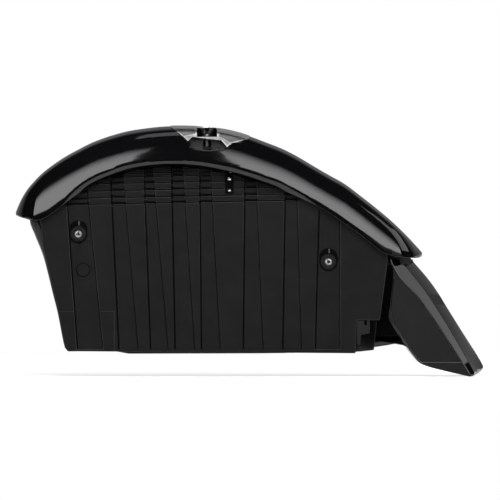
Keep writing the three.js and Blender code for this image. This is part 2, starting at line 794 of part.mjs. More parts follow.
function channelCutter() {
  const strips = channelShares.map((channel, index) => {
    const headZ = index === channelShares.length - 1 ? firstLedgeZ - lastChannelDrop : channelHeadZ;
    const [footLeft, footRight] = channelEdges(channel, channelFootZ);
    const [headLeft, headRight] = channelEdges(channel, headZ);
    return prismAlongY(
      [[footLeft, channelFootZ], [footRight, channelFootZ], [headRight, headZ], [headLeft, headZ]],
      inboardFace - overrun,
      bellyY,
    );
  });
  return joined(...strips).intersect(staircaseSkin(-overrun, channelDepth));
}

// Deep dark bar above each ledge inside a channel
function ledgeBarCutter() {
  const bars = channelShares.flatMap((channel) => channel.bars.map((ledge) => {
    const middle = channelEdges(channel, up(ledgeHeightShares[ledge]));
    const z = up(ledgeHeightShares[ledge]) + ledgeRiseAt((middle[0] + middle[1]) / 2);
    const back = panelY + ledgeStep * (ledge + 1) + channelDepth + ledgeBarDepth;
    return block(
      [middle[0] + channelDepth, inboardFace - overrun, z + channelDepth],
      [middle[1] - channelDepth, back, z + ledgeBarHeight],
    );
  }));
  return joined(...bars);
}

// Arch-topped pocket round a fastener, with side wings on the rear one
function pocketCutter(mount) {
  const [round, well] = [pocketLift, 0].map((lift) => rod(
    'y', pocketRadius, [mount.x, panelY + pocketDepth - overrun, mount.z + lift], overrun, fineSides,
  ));
  if (mount.side === 'front') return joined(round, well);
  const wings = block(
    [mount.x - pocketWing, panelY - overrun, mount.z + pocketLift - pocketWingHeight],
    [mount.x + pocketWing, panelY + pocketDepth, mount.z + pocketLift],
  );
  return joined(round, well, wings);
}

const neckHole = (mount) => rod(
  'y', grommetNeckRadius + clearance, [mount.x, inboardFace - overrun, mount.z], 3 * overrun, fineSides,
);
const witnessHole = (mount) => rod(
  'y', witnessHoleRadius, [mount.x + witnessHoleRadius, panelY - overrun, mount.z - witnessHoleDrop],
  overrun + pocketDepth, 8,
);

// Frame on the noses of the ledges, leaning back with them
const ledgeNose = (index) => new THREE.Vector2(
  panelY + ledgeStep * index,
  up(ledgeHeightShares[index]) + ledgeRiseAt(strikerPlateX),
);
const [noseLow, noseHigh] = strikerPlateLedges.map(ledgeNose);
const ledgeLean = Math.atan((noseHigh.x - noseLow.x) / (noseHigh.y - noseLow.y));
const ledgeFrame = new THREE.Matrix4()
  .makeTranslation(strikerPlateX, noseLow.x, noseLow.y)
  .multiply(new THREE.Matrix4().makeRotationX(-ledgeLean));
const strikerPlateTop = (strikerPlateTopZ - noseLow.y) / Math.cos(ledgeLean);
const strikerPlateFoot = (strikerPlateFootZ - noseLow.y) / Math.cos(ledgeLean);
const rivetHeights = [strikerPlateFoot + rivetInset, strikerPlateTop - rivetInset];
const strikerReach = strikerPlateX - (buttonX - strikerBarLength / 2 - strikerBarRadius / 2);
const strikerRise = ledgeRiseAt(strikerPlateX) - ledgeRiseAt(strikerPlateX - strikerReach);
const panelBackInset = (panelThickness + ledgeStep) * Math.cos(ledgeLean)
  + (panelThickness + strikerRise) * Math.sin(ledgeLean) + clearance;

const rivetHoles = (grow) => joined(...rivetHeights.map((height) => placed(
  rod('y', rivetRadius + grow, [0, -overrun, height], 2 * overrun),
  ledgeFrame,
)));

function makeInnerShell() {
  const plate = staircaseSkin(0, panelThickness)
    .intersect(prismAlongY(panelOutline, inboardFace - overrun, bellyY))
    .intersect(belowParting(rimOverlap, -partingGap / 2));
  const plugPlace = [plugX, panelY - overrun, plugZ];
  const plugSeat = rod('y', plugRadius + clearance, plugPlace, overrun + plugRecess, fineSides);
  const plugHole = rod('y', plugStemRadius + clearance, plugPlace, 2 * overrun, fineSides);
  return without(
    plate,
    channelCutter(),
    ledgeBarCutter(),
    plugSeat,
    plugHole,
    ...mounts.map(pocketCutter),
    ...mounts.map(neckHole),
    ...mounts.map(witnessHole),
    rivetHoles(clearance),
  );
}

// Materials

const finish = (name, color, roughness, metalness) => new THREE.MeshStandardMaterial({
  name, color, roughness, metalness,
});
const glossBlack = finish('gloss_black', 0x0c0c0d, 0.08, 0);
const mattBlack = finish('matt_black', 0x26262a, 0.6, 0);
const linerBlack = finish('liner_black', 0x18181a, 0.85, 0);
const rubber = finish('rubber', 0x141414, 0.8, 0);
const chrome = finish('chrome', 0xd8dadc, 0.08, 1);
const brushed = finish('brushed', 0x707276, 0.35, 1);
const steel = finish('steel', 0x9a9c9f, 0.35, 1);
const darkSteel = finish('dark_steel', 0x2b2c2e, 0.45, 1);

const bag = new THREE.Group();
bag.name = 'saddlebag';

function add(name, solid, material, parent = bag) {
  const mesh = new THREE.Mesh(geometryOf(solid), material);
  mesh.name = name;
  parent.add(mesh);
  return mesh;
}

// Numbered copies of a fastener
const addEach = (name, solids, material) => solids.forEach((solid, index) => (
  add(`${name}_${index + 1}`, solid, material)
));

// Outer shell with its tail

function makeOuterShell() {
  const shellFlangeY = panelThickness + clearance + caseWall;
  const outer = caseForm(0, 0);
  const hollow = caseForm(caseWall, shellFlangeY);
  const tail = tailForm(0);
  const tailHollow = tailForm(caseWall).subtract(outer);
  const panelSeat = prismAlongY(
    insetOutline(panelOutline, -seamGap), inboardFace - overrun, panelY + panelThickness + clearance,
  );
  const window = prismAlongY(
    insetOutline(panelOutline.slice(0, -1), shellFlangeWidth), inboardFace - overrun, panelY + 3 * shellFlangeY,
  );
  const tailWindow = prismAlongY(tailWindowOutline(0), tailInboardY - overrun, tailInboardY + 2 * caseWall);
  const headRoom = prismAlongY(
    insetOutline(panelOutline, -seamGap).map(([x, z]) => [x, Math.max(z, firstLedgeZ)]),
    inboardFace - overrun,
    panelY + panelStepBack + shellFlangeY,
  );
  return without(joined(outer, tail), hollow, tailHollow, panelSeat, window, tailWindow, headRoom)
    .intersect(belowParting(rimOverlap, -partingGap / 2));
}

// Opening in the tail's inboard side
function tailWindowOutline(shrink) {
  const [lowest, highest] = tailWindowShares;
  const levels = tailSliceShares.filter((share) => share >= lowest && share <= highest);
  const front = levels.map((share) => [along(tableAt(tailFrontShares, share)), up(share)]);
  const rear = levels.map((share) => [along(tableAt(tailCreaseShares, share)), up(share)]);
  return insetOutline([...reversed(front), ...rear], 2 * caseWall + shrink);
}

// Hinge frame: X along the hinge line, Y outboard and Z square to both
const hingeFrame = new THREE.Matrix4()
  .makeTranslation(0, hingeY, hingeLineZ(0))
  .multiply(new THREE.Matrix4().makeRotationY(hingeTilt));
const inHingeFrame = (solid) => placed(solid, hingeFrame);

const knuckleSpan = hingeWidth / 3;
const knuckleGap = clearance;
const leafSides = { case: -1, lid: 1 };

// Room in both walls for the knuckles, and in one wall for its leaf and screws
function hingeRoom(side, station) {
  const half = hingeWidth / 2 + clearance + pinHeadLength;
  const sign = leafSides[side];
  const leafEnds = [0, sign * (leafHeight + clearance)].sort((a, b) => a - b);
  return inHingeFrame(joined(
    block([station - half, -knuckleNotch, -knuckleNotch], [station + half, overrun, knuckleNotch]),
    block(
      [station - hingeWidth / 2 - clearance, -caseWall - overrun / 2, leafEnds[0]],
      [station + hingeWidth / 2 + clearance, -caseWall + leafThickness + clearance, leafEnds[1]],
    ),
    ...hingeScrewPlaces(side, station).map(([x, z]) => rod(
      'y', hingeScrewShank + clearance, [x, -caseWall - overrun, z], overrun + hingeScrewLength, coarseSides,
    )),
  ));
}

function hingeScrewPlaces(side, station) {
  const z = leafSides[side] * leafHeight * hingeScrewHeightShare;
  return [-hingeScrewInset, hingeScrewInset].map((inset) => [station + inset, z]);
}

// One leaf: bent plate through the parting gap with its knuckles, the case's at both ends
function hingeLeaf(side, station) {
  const sign = leafSides[side];
  const bentPlate = [
    [0, leafGap], [0, leafGap + leafThickness], [-caseWall + leafThickness, leafGap + leafThickness],
    [-caseWall + leafThickness, leafHeight], [-caseWall, leafHeight], [-caseWall, leafGap],
  ].map(([y, z]) => [y, sign * z]);
  const outline = sign > 0 ? bentPlate : reversed(bentPlate);
  const plate = prismAlongX(outline, station - hingeWidth / 2, station + hingeWidth / 2);
  const left = station - hingeWidth / 2;
  const spans = side === 'case'
    ? [[left, left + knuckleSpan - knuckleGap], [left + 2 * knuckleSpan + knuckleGap, left + hingeWidth]]
    : [[left + knuckleSpan, left + 2 * knuckleSpan]];
  const otherSpans = side === 'case'
    ? [[left + knuckleSpan - knuckleGap, left + 2 * knuckleSpan + knuckleGap]]
    : [[left - knuckleGap, left + knuckleSpan], [left + 2 * knuckleSpan, left + hingeWidth + knuckleGap]];
  const knuckles = spans.map(([from, to]) => rod('x', knuckleRadius, [from, 0, 0], to - from));
  const room = otherSpans.map(([from, to]) => block(
    [from, -knuckleRadius - 2 * clearance, -knuckleNotch], [to, overrun, knuckleNotch],
  ));
  const bore = rod('x', pinRadius + pinPlay, [left - overrun, 0, 0], hingeWidth + 2 * overrun);
  const screwHoles = hingeScrewPlaces(side, station).map(([x, z]) => rod(
    'y', hingeScrewShank + clearance, [x, -overrun, z], overrun, coarseSides,
  ));
  return inHingeFrame(without(joined(plate.subtract(joined(...room)), ...knuckles), bore, ...screwHoles));
}

function hingePin(station) {
  const left = station - hingeWidth / 2 - clearance;
  return inHingeFrame(turned(
    [
      [0, -pinHeadLength], [pinHeadRadius, -pinHeadLength], [pinHeadRadius, 0], [pinRadius, 0],
      [pinRadius, hingeWidth + clearance + pinHeadLength], [0, hingeWidth + clearance + pinHeadLength],
    ],
    'x',
    [left, 0, 0],
  ));
}

// Pan-head screw pointing along an axis, head first
function screw(axis, point, headRadius, headHeight, shankRadius, shankLength) {
  return turned(
    [
      [0, -headHeight], [headRadius * screwCrownShare, -headHeight], [headRadius, -headHeight * screwRimShare],
      [headRadius, -clearance], [shankRadius, -clearance], [shankRadius, shankLength], [0, shankLength],
    ],
    axis,
    point,
    screwSides,
  );
}

const stations = Object.entries(hingeStationShares).map(([name, share]) => [name, along(share)]);
const hingeScrews = (side, station) => hingeScrewPlaces(side, station).map(([x, z]) => inHingeFrame(screw(
  'y', [x, -caseWall, z], hingeScrewRadius, hingeScrewHead, hingeScrewShank, hingeScrewLength - clearance,
)));

// Latch outlines

const latchPoint = ([x, z]) => [latchLeftX + x * latchWidth, latchTopZ - (1 - z) * latchHeight];
const latchEdge = latchOutlineShares.map(latchPoint);
const latchOutline = [
  ...latchEdge,
  [latchEdge[latchEdge.length - 1][0], latchTopZ + overrun],
  [latchEdge[0][0], latchTopZ + overrun],
];
const recessOutline = reversed(recessShares.map(latchPoint));
const recessMouth = reversed(recessMouthShares.map(latchPoint));
const latchPrism = (shrink) => prismAlongY(
  insetOutline(latchOutline, shrink), inboardFace - overrun, latchBackY - shrink,
);
const outerSkin = (proud, thickness) => lidForm(-proud).subtract(lidForm(thickness - proud));

// Room for the button: a round well, open to the front above the deck
const deckZ = buttonFootZ - buttonTravel - buttonStop;
const buttonWell = (grow) => joined(
  rod('z', buttonTopRadius + wellClearance + grow, [buttonX, buttonY, deckZ], 3 * overrun, buttonSides),
  block(
    [buttonX - buttonTopRadius - wellClearance - grow, inboardFace - overrun, deckZ],
    [buttonX + buttonTopRadius + wellClearance + grow, buttonY, deckZ + 3 * overrun],
  ),
);

function makeBezel() {
  const mouth = prismAlongY(recessMouth, inboardFace - overrun, bellyY);
  const pockets = [leftInlayShares, rightInlayShares].map((shares) => prismAlongY(
    reversed(shares.map(latchPoint)), inboardFace - overrun, latchBackY - bezelBorder,
  ));
  const pocketFloor = lidForm(inlayDrop + inlayThickness - bezelProud);
  return without(
    outerSkin(bezelProud, bezelThickness).intersect(latchPrism(clearance)),
    mouth,
    buttonWell(0),
    joined(...pockets).subtract(pocketFloor),
  );
}

const inlay = (shares) => prismAlongY(
  insetOutline(reversed(shares.map(latchPoint)), clearance),
  inboardFace - overrun,
  latchBackY - bezelBorder - clearance,
).intersect(outerSkin(bezelProud - inlayDrop, inlayThickness - 2 * clearance));

const hookEars = [-1, 1].map((side) => {
  const near = hookWidth / 2 + clearance;
  const far = near + hookEarThickness;
  const ends = [buttonX + side * near, buttonX + side * far].sort((a, b) => a - b);
  return prismAlongX(
    [
      [latchBackY - hookEarReach, hookPivotZ - hookEyeRadius], [hookPivotY, hookPivotZ - hookEyeRadius],
      [hookPivotY + hookEyeRadius, hookPivotZ], [hookPivotY, hookPivotZ + hookEyeRadius],
      [latchBackY - hookEarReach, hookPivotZ + hookEyeRadius],
    ],
    ends[0],
    ends[1],
  );
});

function makeLatchHousing() {
  const below = bezelThickness - bezelProud + clearance;
  const body = latchPrism(clearance).intersect(lidForm(below));
  const mouth = prismAlongY(insetOutline(recessMouth, clearance), inboardFace - overrun, latchBackY - clearance)
    .intersect(latchPrism(clearance))
    .intersect(lidForm(clearance));
  const pocket = prismAlongY(
    insetOutline(recessOutline, recessBorder), inboardFace - overrun, recessBackY,
  );
  const backSlot = block(
    [buttonX - hookWidth / 2 - clearance, buttonY - buttonStemRadius, hookPivotZ - hookEyeRadius],
    [buttonX + hookWidth / 2 + clearance, bellyY, deckZ - deckThickness - springSeat],
  );
  const roomBehind = prismAlongY(
    insetOutline(recessOutline, recessBorder), latchBackY - clearance, bellyY,
  );
  const stemHole = rod('z', buttonStemRadius + clearance, [buttonX, buttonY, 0], overallHeight, fineSides);
  const springHole = rod(
    'z', springRadius + springWire + clearance, [buttonX, buttonY, deckZ - springSeat], overrun, fineSides,
  );
  const pinHole = rod(
    'x', hookPinRadius + hookPinPlay, [buttonX - overrun, hookPivotY, hookPivotZ], 2 * overrun, fineSides,
  );
  return without(
    joined(without(joined(body, mouth), pocket, backSlot, roomBehind), ...hookEars),
    buttonWell(0), stemHole, springHole, pinHole,
  );
}

function makeButton() {
  const cap = [
    [0, 0], ...buttonShares.map(([r, h]) => [r * buttonTopRadius, h * buttonHeight]), [0, buttonHeight],
  ];
  const stem = rod('z', buttonStemRadius, [buttonX, buttonY, buttonFootZ - buttonStemLength], buttonStemLength);
  const lockWell = rod(
    'z', lockRadius + clearance, [buttonX, buttonY, buttonFootZ + buttonHeight - lockLength], overrun,
  );
  const body = turned(cap, 'z', [buttonX, buttonY, buttonFootZ], buttonSides);
  return joined(body, stem).subtract(lockWell);
}

function makeLockCore() {
  const footZ = buttonFootZ + buttonHeight - lockLength + clearance;
  const core = rod('z', lockRadius, [buttonX, buttonY, footZ], lockLength - clearance);
  const keySlot = block(
    [buttonX - keySlotWidth / 2, buttonY - lockRadius / 2, footZ + lockLength - clearance - keySlotDepth],
    [buttonX + keySlotWidth / 2, buttonY + lockRadius / 2, footZ + lockLength],
  );
  return core.subtract(keySlot);
}

// Tube that follows a curve, with flat ends
function tube(curve, radius, sides, steps) {
  const section = new THREE.Shape();
  for (let side = 0; side < sides; side += 1) {
    const angle = side * 2 * Math.PI / sides;
    const point = [radius * Math.cos(angle), radius * Math.sin(angle)];
    if (side === 0) section.moveTo(...point);
    else section.lineTo(...point);
  }
  section.closePath();
  return solidOf(new THREE.ExtrudeGeometry(section, { steps, extrudePath: curve, bevelEnabled: false }));
}

// Coil spring between the deck's seat and the button's foot
class Coil extends THREE.Curve {
  getPoint(t) {
    const angle = t * springTurns * 2 * Math.PI;
    const from = deckZ - springSeat + springWire + clearance;
    const to = buttonFootZ - springWire - clearance;
    return new THREE.Vector3(
      buttonX + springRadius * Math.cos(angle),
      buttonY + springRadius * Math.sin(angle),
      from + (to - from) * t,
    );
  }
}

// Hook: lever under the button's stem, arm down to the striker and a nose turned in below it
function makeHook() {
  const leverY = buttonY - buttonStemRadius / 2;
  const leverTopZ = buttonFootZ - buttonStemLength - clearance;
  const footZ = strikerBarZ - hookNoseDrop;
  const armY = hookPivotY - hookThickness / 2;
  const side = [
    [leverY, leverTopZ], [leverY, leverTopZ - hookThickness],
    [hookPivotY - hookEyeRadius, hookPivotZ - hookEyeRadius / 2], [armY, hookPivotZ - hookEyeRadius],
    [armY, footZ + hookThickness], [strikerBarY + strikerBarRadius / 2, footZ + hookThickness * hookNoseShare],
    [strikerBarY + strikerBarRadius, footZ], [armY + hookThickness, footZ],
    [armY + hookThickness, hookPivotZ - hookEyeRadius], [hookPivotY + hookEyeRadius, hookPivotZ],
    [hookPivotY + hookEyeRadius / 2, hookPivotZ + hookEyeRadius],
    [hookPivotY - hookEyeRadius, hookPivotZ + hookEyeRadius],
  ];
  const plate = prismAlongX(side, buttonX - hookWidth / 2, buttonX + hookWidth / 2);
  return plate.subtract(rod(
    'x', hookPinRadius + hookPinPlay, [buttonX - overrun, hookPivotY, hookPivotZ], 2 * overrun, fineSides,
  ));
}

const hookPinHalf = hookWidth / 2 + clearance + hookEarThickness + hookPinRadius / 2;

// Striker: base plate inside the panel, two arms and the bar
function makeStriker() {
  const left = buttonX - strikerBarLength / 2;
  const right = strikerPlateX + strikerPlateWidth / 2;
  const base = placed(block(
    [left - strikerBarRadius / 2 - strikerPlateX, panelBackInset, strikerPlateFoot],
    [right - strikerPlateX, panelBackInset + strikerBaseThickness, strikerPlateTop],
  ), ledgeFrame);
  const onBase = (drop) => new THREE.Vector3(
    0, panelBackInset + strikerBaseThickness / 2, strikerPlateTop - drop,
  ).applyMatrix4(ledgeFrame);
  const baseFoot = onBase(strikerArmFoot);
  const baseTop = onBase(strikerBaseThickness / 2);
  const arm = (x) => prismAlongX(
    [
      [baseFoot.y, baseFoot.z], [strikerBarY, baseTop.z - strikerArmWidth],
      [strikerBarY + strikerArmWidth / 2, strikerBarZ - strikerArmWidth / 2],
      [strikerBarY + strikerArmWidth / 2, strikerBarZ + strikerArmWidth / 2],
      [strikerBarY - strikerArmWidth / 2, strikerBarZ + strikerArmWidth / 2],
      [strikerBarY - strikerArmWidth / 2, baseTop.z + strikerArmWidth / 2], [baseTop.y, baseTop.z],
    ],
    x,
    x + strikerArmThickness,
  );
  const bar = rod(
    'x', strikerBarRadius, [left - strikerBarRadius / 2, strikerBarY, strikerBarZ],
    strikerBarLength + strikerBarRadius,
  );
  return joined(base, arm(left), arm(left + strikerBarLength - strikerArmThickness), bar)
    .subtract(rivetHoles(clearance));
}

const strikerPlate = () => placed(block(
  [-strikerPlateWidth / 2, -strikerPlateStandOff - strikerPlateThickness, strikerPlateFoot],
  [strikerPlateWidth / 2, -strikerPlateStandOff, strikerPlateTop],
), ledgeFrame).subtract(rivetHoles(clearance));

const rivetHeadY = -strikerPlateStandOff - strikerPlateThickness - clearance;
const rivetShank = panelBackInset + strikerBaseThickness - rivetHeadY;
const strikerRivets = () => rivetHeights.map((height) => placed(turned(
  [
    [0, -rivetHeadHeight], [rivetHeadRadius * rivetCrownShare, -rivetHeadHeight * rivetRimShare],
    [rivetHeadRadius, 0],
    [rivetRadius, 0], [rivetRadius, rivetShank], [0, rivetShank],
  ],
  'y',
  [0, rivetHeadY, height],
  coarseSides,
), ledgeFrame));

// Mount fasteners, all turned about Y

const flangeBackY = panelY + pocketDepth - clearance;
const flangeFaceY = flangeBackY - grommetFlange;
const panelBackY = panelY + panelThickness;
const innerLipY = panelBackY + clearance;
const washerY = innerLipY + grommetFlange / 2 + clearance;
const knobY = washerY + washerThickness + clearance;

const ringSection = (inner, outer, from, to) => [
  [inner, from], [outer, from], [outer, to], [inner, to], [inner, from],
];

function makeGrommet({ x, z }) {
  return turned(
    [
      [grommetBoreRadius, flangeFaceY], [grommetRadius - grommetFlange / 4, flangeFaceY],
      [grommetRadius, flangeFaceY + grommetFlange / 4], [grommetRadius, flangeBackY],
      [grommetNeckRadius, flangeBackY], [grommetNeckRadius, innerLipY],
      [grommetNeckRadius + grommetFlange / 2, innerLipY],
      [grommetNeckRadius + grommetFlange / 2, innerLipY + grommetFlange / 2],
      [grommetBoreRadius, innerLipY + grommetFlange / 2], [grommetBoreRadius, flangeFaceY],
    ],
    'y',
    [x, 0, z],
    fineSides,
  );
}

function makeStud({ x, z }) {
  const tipY = flangeFaceY - studProud;
  const shaft = rod('y', studRadius, [x, tipY, z], studLength);
  const slot = block(
    [x - studSlotWidth / 2, tipY - overrun, z - studRadius - clearance],
    [x + studSlotWidth / 2, tipY + studSlotDepth, z + studRadius + clearance],
  );
  return shaft.subtract(slot);
}

const makeWasher = ({ x, z }) => turned(
  ringSection(studRadius + clearance, washerRadius, washerY, washerY + washerThickness),
  'y',
  [x, 0, z],
  fineSides,
);

function makeKnob({ x, z }) {
  const sides = Math.round(knobLobes * knobLobeSides);
  const outline = Array.from({ length: sides }, (_, step) => {
    const angle = step * 2 * Math.PI / sides;
    const radius = knobRadius - knobLobeDepth * (1 - Math.cos(knobLobes * angle)) / 2;
    return [x + radius * Math.cos(angle), z + radius * Math.sin(angle)];
  });
  const studEnd = flangeFaceY - studProud + studLength;
  return prismAlongY(outline, knobY, knobY + knobHeight)
    .subtract(rod('y', studRadius + clearance, [x, 0, z].map((value, axis) => (
      axis === 1 ? knobY - overrun : value
    )), studEnd + clearance - knobY + overrun));
}

function makePlug() {
  const headY = panelY + plugRecess - clearance;
  return turned(
    [
      [0, headY - plugHeadThickness], [plugRadius - plugHeadThickness / 2, headY - plugHeadThickness],
      [plugRadius, headY - plugHeadThickness / 2], [plugRadius, headY], [plugStemRadius, headY],
      [plugStemRadius, innerLipY], [plugStemRadius + plugBarb, innerLipY],
      [plugStemRadius, innerLipY + plugBarbLength], [0, innerLipY + plugBarbLength],
    ],
    'y',
    [plugX, 0, plugZ],
    fineSides,
  );
}

// Rear bracket: stepped plate with a leg along the wall of the cut-away corner

const bracketWallX = along(muffleRecessShares[0][0]) + clearance;
const bracketY = panelY + bracketSetBack;
const bracketScrewPlaces = bracketScrewShares.map((share) => (
  up(bracketShares[6][1]) + share * (up(bracketShares[0][1]) - up(bracketShares[6][1]))
));

function makeRearBracket() {
  const plate = prismAlongY(reversed(outlineAt(bracketShares)), bracketY, bracketY + bracketThickness)
    .subtract(prismAlongY(outlineAt(bracketSlotShares), bracketY - overrun, bracketY + overrun));
  const leg = block(
    [bracketWallX, bracketY, up(bracketShares[6][1])],
    [bracketWallX + bracketThickness, bracketY + bracketLegDepth, up(bracketShares[0][1])],
  );
  return joined(plate, leg).subtract(bracketScrewHoles());
}

const bracketScrewY = bracketY + bracketLegDepth * bracketScrewDepthShare;
const bracketScrewHoles = () => joined(...bracketScrewPlaces.map((z) => rod(
  'x', hingeScrewShank + clearance, [bracketWallX - caseWall + clearance, bracketScrewY, z], 2 * caseWall,
  coarseSides,
)));
const bracketScrews = () => bracketScrewPlaces.map((z) => placed(
  screw('x', [0, 0, 0], bracketScrewRadius, bracketScrewHead, hingeScrewShank, bracketThickness + caseWall / 2),
  new THREE.Matrix4()
    .makeTranslation(bracketWallX + bracketThickness, bracketScrewY, z)
    .multiply(new THREE.Matrix4().makeRotationY(Math.PI)),
));

// Lid stay in the hinge frame: slotted arm between a pivot on the lid and a pin on the rear wall

const onStayCircle = (degrees) => {
  const angle = THREE.MathUtils.degToRad(degrees);
  return new THREE.Vector2(-stayRadius * Math.cos(angle), stayRadius * Math.sin(angle));
};
const stayLidPivot = onStayCircle(stayLidAngle);
const stayCasePivot = onStayCircle(stayCaseAngle);
const stayChord = (opened) => 2 * stayRadius
  * Math.sin(THREE.MathUtils.degToRad((stayLidAngle - stayCaseAngle + opened) / 2));
const rearWallInnerX = (rearWallX / Math.cos(hingeTilt)) - caseWall;
const stayPlateX = rearWallInnerX - clearance - stayPlateThickness;
const stayArmX = stayPlateX - stayArmSetIn - stayThickness;
const stayLidPlateX = stayArmX + stayThickness + clearance;

function makeStayArm() {
  const direction = stayCasePivot.clone().sub(stayLidPivot).normalize();
  const normal = new THREE.Vector2(-direction.y, direction.x);
  const at = (reach, side) => {
    const point = stayLidPivot.clone().addScaledVector(direction, reach).addScaledVector(normal, side);
    return [point.x, point.y];
  };
  const capsule = (from, to, radius) => {
    const points = [];
    for (let step = 0; step <= 8; step += 1) {
      const angle = Math.PI / 2 + step * Math.PI / 8;
      points.push(at(from + radius * Math.cos(angle), radius * Math.sin(angle)));
    }
    for (let step = 0; step <= 8; step += 1) {
      const angle = -Math.PI / 2 + step * Math.PI / 8;
      points.push(at(to + radius * Math.cos(angle), radius * Math.sin(angle)));
    }
    return points;
  };
  const slotRadius = stayPinRadius + stayPinPlay;
  const bar = prismAlongX(
    capsule(0, stayChord(lidOpenDegrees) + stayEnd - stayWidth / 2, stayWidth / 2),
    stayArmX,
    stayArmX + stayThickness,
  );
  const slot = prismAlongX(
    capsule(stayChord(0), stayChord(lidOpenDegrees), slotRadius), stayArmX - overrun, stayArmX + overrun,
  );
  const eye = rod(
    'x', stayPinRadius + stayRivetPlay, [stayArmX - overrun, stayLidPivot.x, stayLidPivot.y], 2 * overrun,
  );
  return inHingeFrame(without(bar, slot, eye));
}

const stayScrewPlaces = [-1, 1].map((side) => [
  stayCasePivot.x + side * (stayPlateWidth / 2 - 1.5 * stayScrewRadius), stayCasePivot.y,
]);

function makeStayCaseBracket() {
  const plate = block(
    [stayPlateX, stayCasePivot.x - stayPlateWidth / 2, stayCasePivot.y - stayPlateHeight / 2],
    [
      stayPlateX + stayPlateThickness, stayCasePivot.x + stayPlateWidth / 2,
      stayCasePivot.y + stayPlateHeight / 2,
    ],
  );
  const pinEnd = stayArmX - clearance;
  const pin = rod(
    'x', stayPinRadius, [pinEnd, stayCasePivot.x, stayCasePivot.y], stayPlateX - pinEnd,
  );
  const head = rod(
    'x', stayHeadRadius, [pinEnd - stayHeadThickness, stayCasePivot.x, stayCasePivot.y], stayHeadThickness,
  );
  const shoulder = rod(
    'x', stayHeadRadius, [stayArmX + stayThickness + clearance, stayCasePivot.x, stayCasePivot.y],
    stayPlateX - stayArmX - stayThickness - clearance,
  );
  return inHingeFrame(joined(plate, pin, head, shoulder).subtract(stayScrewHoles()));
}

const stayScrewHoles = () => joined(...stayScrewPlaces.map(([y, z]) => rod(
  'x', hingeScrewShank + clearance, [stayPlateX - overrun, y, z], overrun + stayPlateThickness + caseWall,
  coarseSides,
)));
const stayScrews = () => stayScrewPlaces.map(([y, z]) => inHingeFrame(screw(
  'x', [stayPlateX, y, z], stayScrewRadius, stayScrewHead, hingeScrewShank, stayPlateThickness + caseWall / 2,
)));

// Upright plate of the lid's bracket and its foot under the crown
function stayLidUpright(grow) {
  return inHingeFrame(block(
    [stayLidPlateX - grow, stayLidPivot.x - stayPlateWidth / 2 - grow, stayLidPivot.y - stayHeadRadius - grow],
    [stayLidPlateX + stayThickness + grow, stayLidPivot.x + stayPlateWidth / 2 + grow, overallHeight / 2],
  ));
}
const stayLidFoot = (grow) => inHingeFrame(block(
  [stayLidPlateX - stayFootLength - grow, stayLidPivot.x - stayPlateWidth / 2 - grow, leafHeight],
  [stayLidPlateX + stayThickness + grow, stayLidPivot.x + stayPlateWidth / 2 + grow, overallHeight / 2],
));

function makeStayLidBracket() {
  const inside = lidForm(lidWall + clearance);
  const foot = stayLidFoot(0).intersect(inside.subtract(lidForm(lidWall + clearance + stayPlateThickness)));
  const eye = inHingeFrame(rod(
    'x', stayPinRadius + stayRivetPlay, [stayLidPlateX - overrun, stayLidPivot.x, stayLidPivot.y], 2 * overrun,
  ));
  return joined(stayLidUpright(0).intersect(inside), foot).subtract(eye);
}

function makeStayRivet() {
  const from = stayArmX - clearance;
  const to = stayLidPlateX + stayThickness + clearance;
  return inHingeFrame(turned(
    [
      [0, from - stayHeadThickness], [stayHeadRadius, from - stayHeadThickness], [stayHeadRadius, from],
      [stayPinRadius, from], [stayPinRadius, to], [stayHeadRadius, to],
      [stayHeadRadius, to + stayHeadThickness], [0, to + stayHeadThickness],
    ],
    'x',
    [0, stayLidPivot.x, stayLidPivot.y],
  ));
}

// Seal: round rubber cord along the inside of the rim, with a butt joint at the front

const sealSpacing = 24;
const sealSteps = 75;

// Place of the seal's centre for a point of the plan, at the height of the rim there
function sealPoint([x, y], plainZ) {
  const share = Math.min(1, Math.max(0, (levelOutboardY - y) / (levelOutboardY - levelInboardY)));
  const z = hingeLineZ(x) + (lidEdgeZ(x) + rimOverlap - sealRadius - hingeLineZ(x)) * share;
  const onRear = x > rearWallAt(plainZ) - caseWall - rearCornerRadius - sealSetIn - 2 * sealRadius;
  const onPanel = y < panelY + panelStepBack / 2;
  const tilt = Math.max(0, -ledgeRiseAt(x));
  const pushed = onPanel && z > firstLedgeZ - overrun
    ? panelY + panelThickness + clearance + sealRadius + ledgeStep
      + leanAt(z + sealRadius + panelThickness + tilt)
    : y;
  return new THREE.Vector3(onRear ? x + rearWallAt(z) - rearWallAt(plainZ) : x, Math.max(y, pushed), z);
}

function sealCurve() {
  const plainZ = hingeLineFront[1];
  const inset = caseWall + clearance + sealRadius + sealSetIn;
  const ring = caseRing(plainZ, inset, panelThickness + clearance + inset);
  const plan = [...ring, [ring[0][0], ring[0][1] + sealJoint + 2 * sealRadius, plainZ]];
  const points = plan.slice(0, -1).flatMap(([x, y], index) => {
    const [nextX, nextY] = plan[index + 1];
    const pieces = Math.max(1, Math.round(Math.hypot(nextX - x, nextY - y) / sealSpacing));
    return Array.from({ length: pieces }, (_, piece) => sealPoint(
      [x + (nextX - x) * piece / pieces, y + (nextY - y) * piece / pieces], plainZ,
    ));
  });
  return new THREE.CatmullRomCurve3([...points, sealPoint(plan[plan.length - 1], plainZ)]);
}

// Fixed to the case

const hingeRooms = (side) => joined(...stations.map(([, station]) => hingeRoom(side, station)));

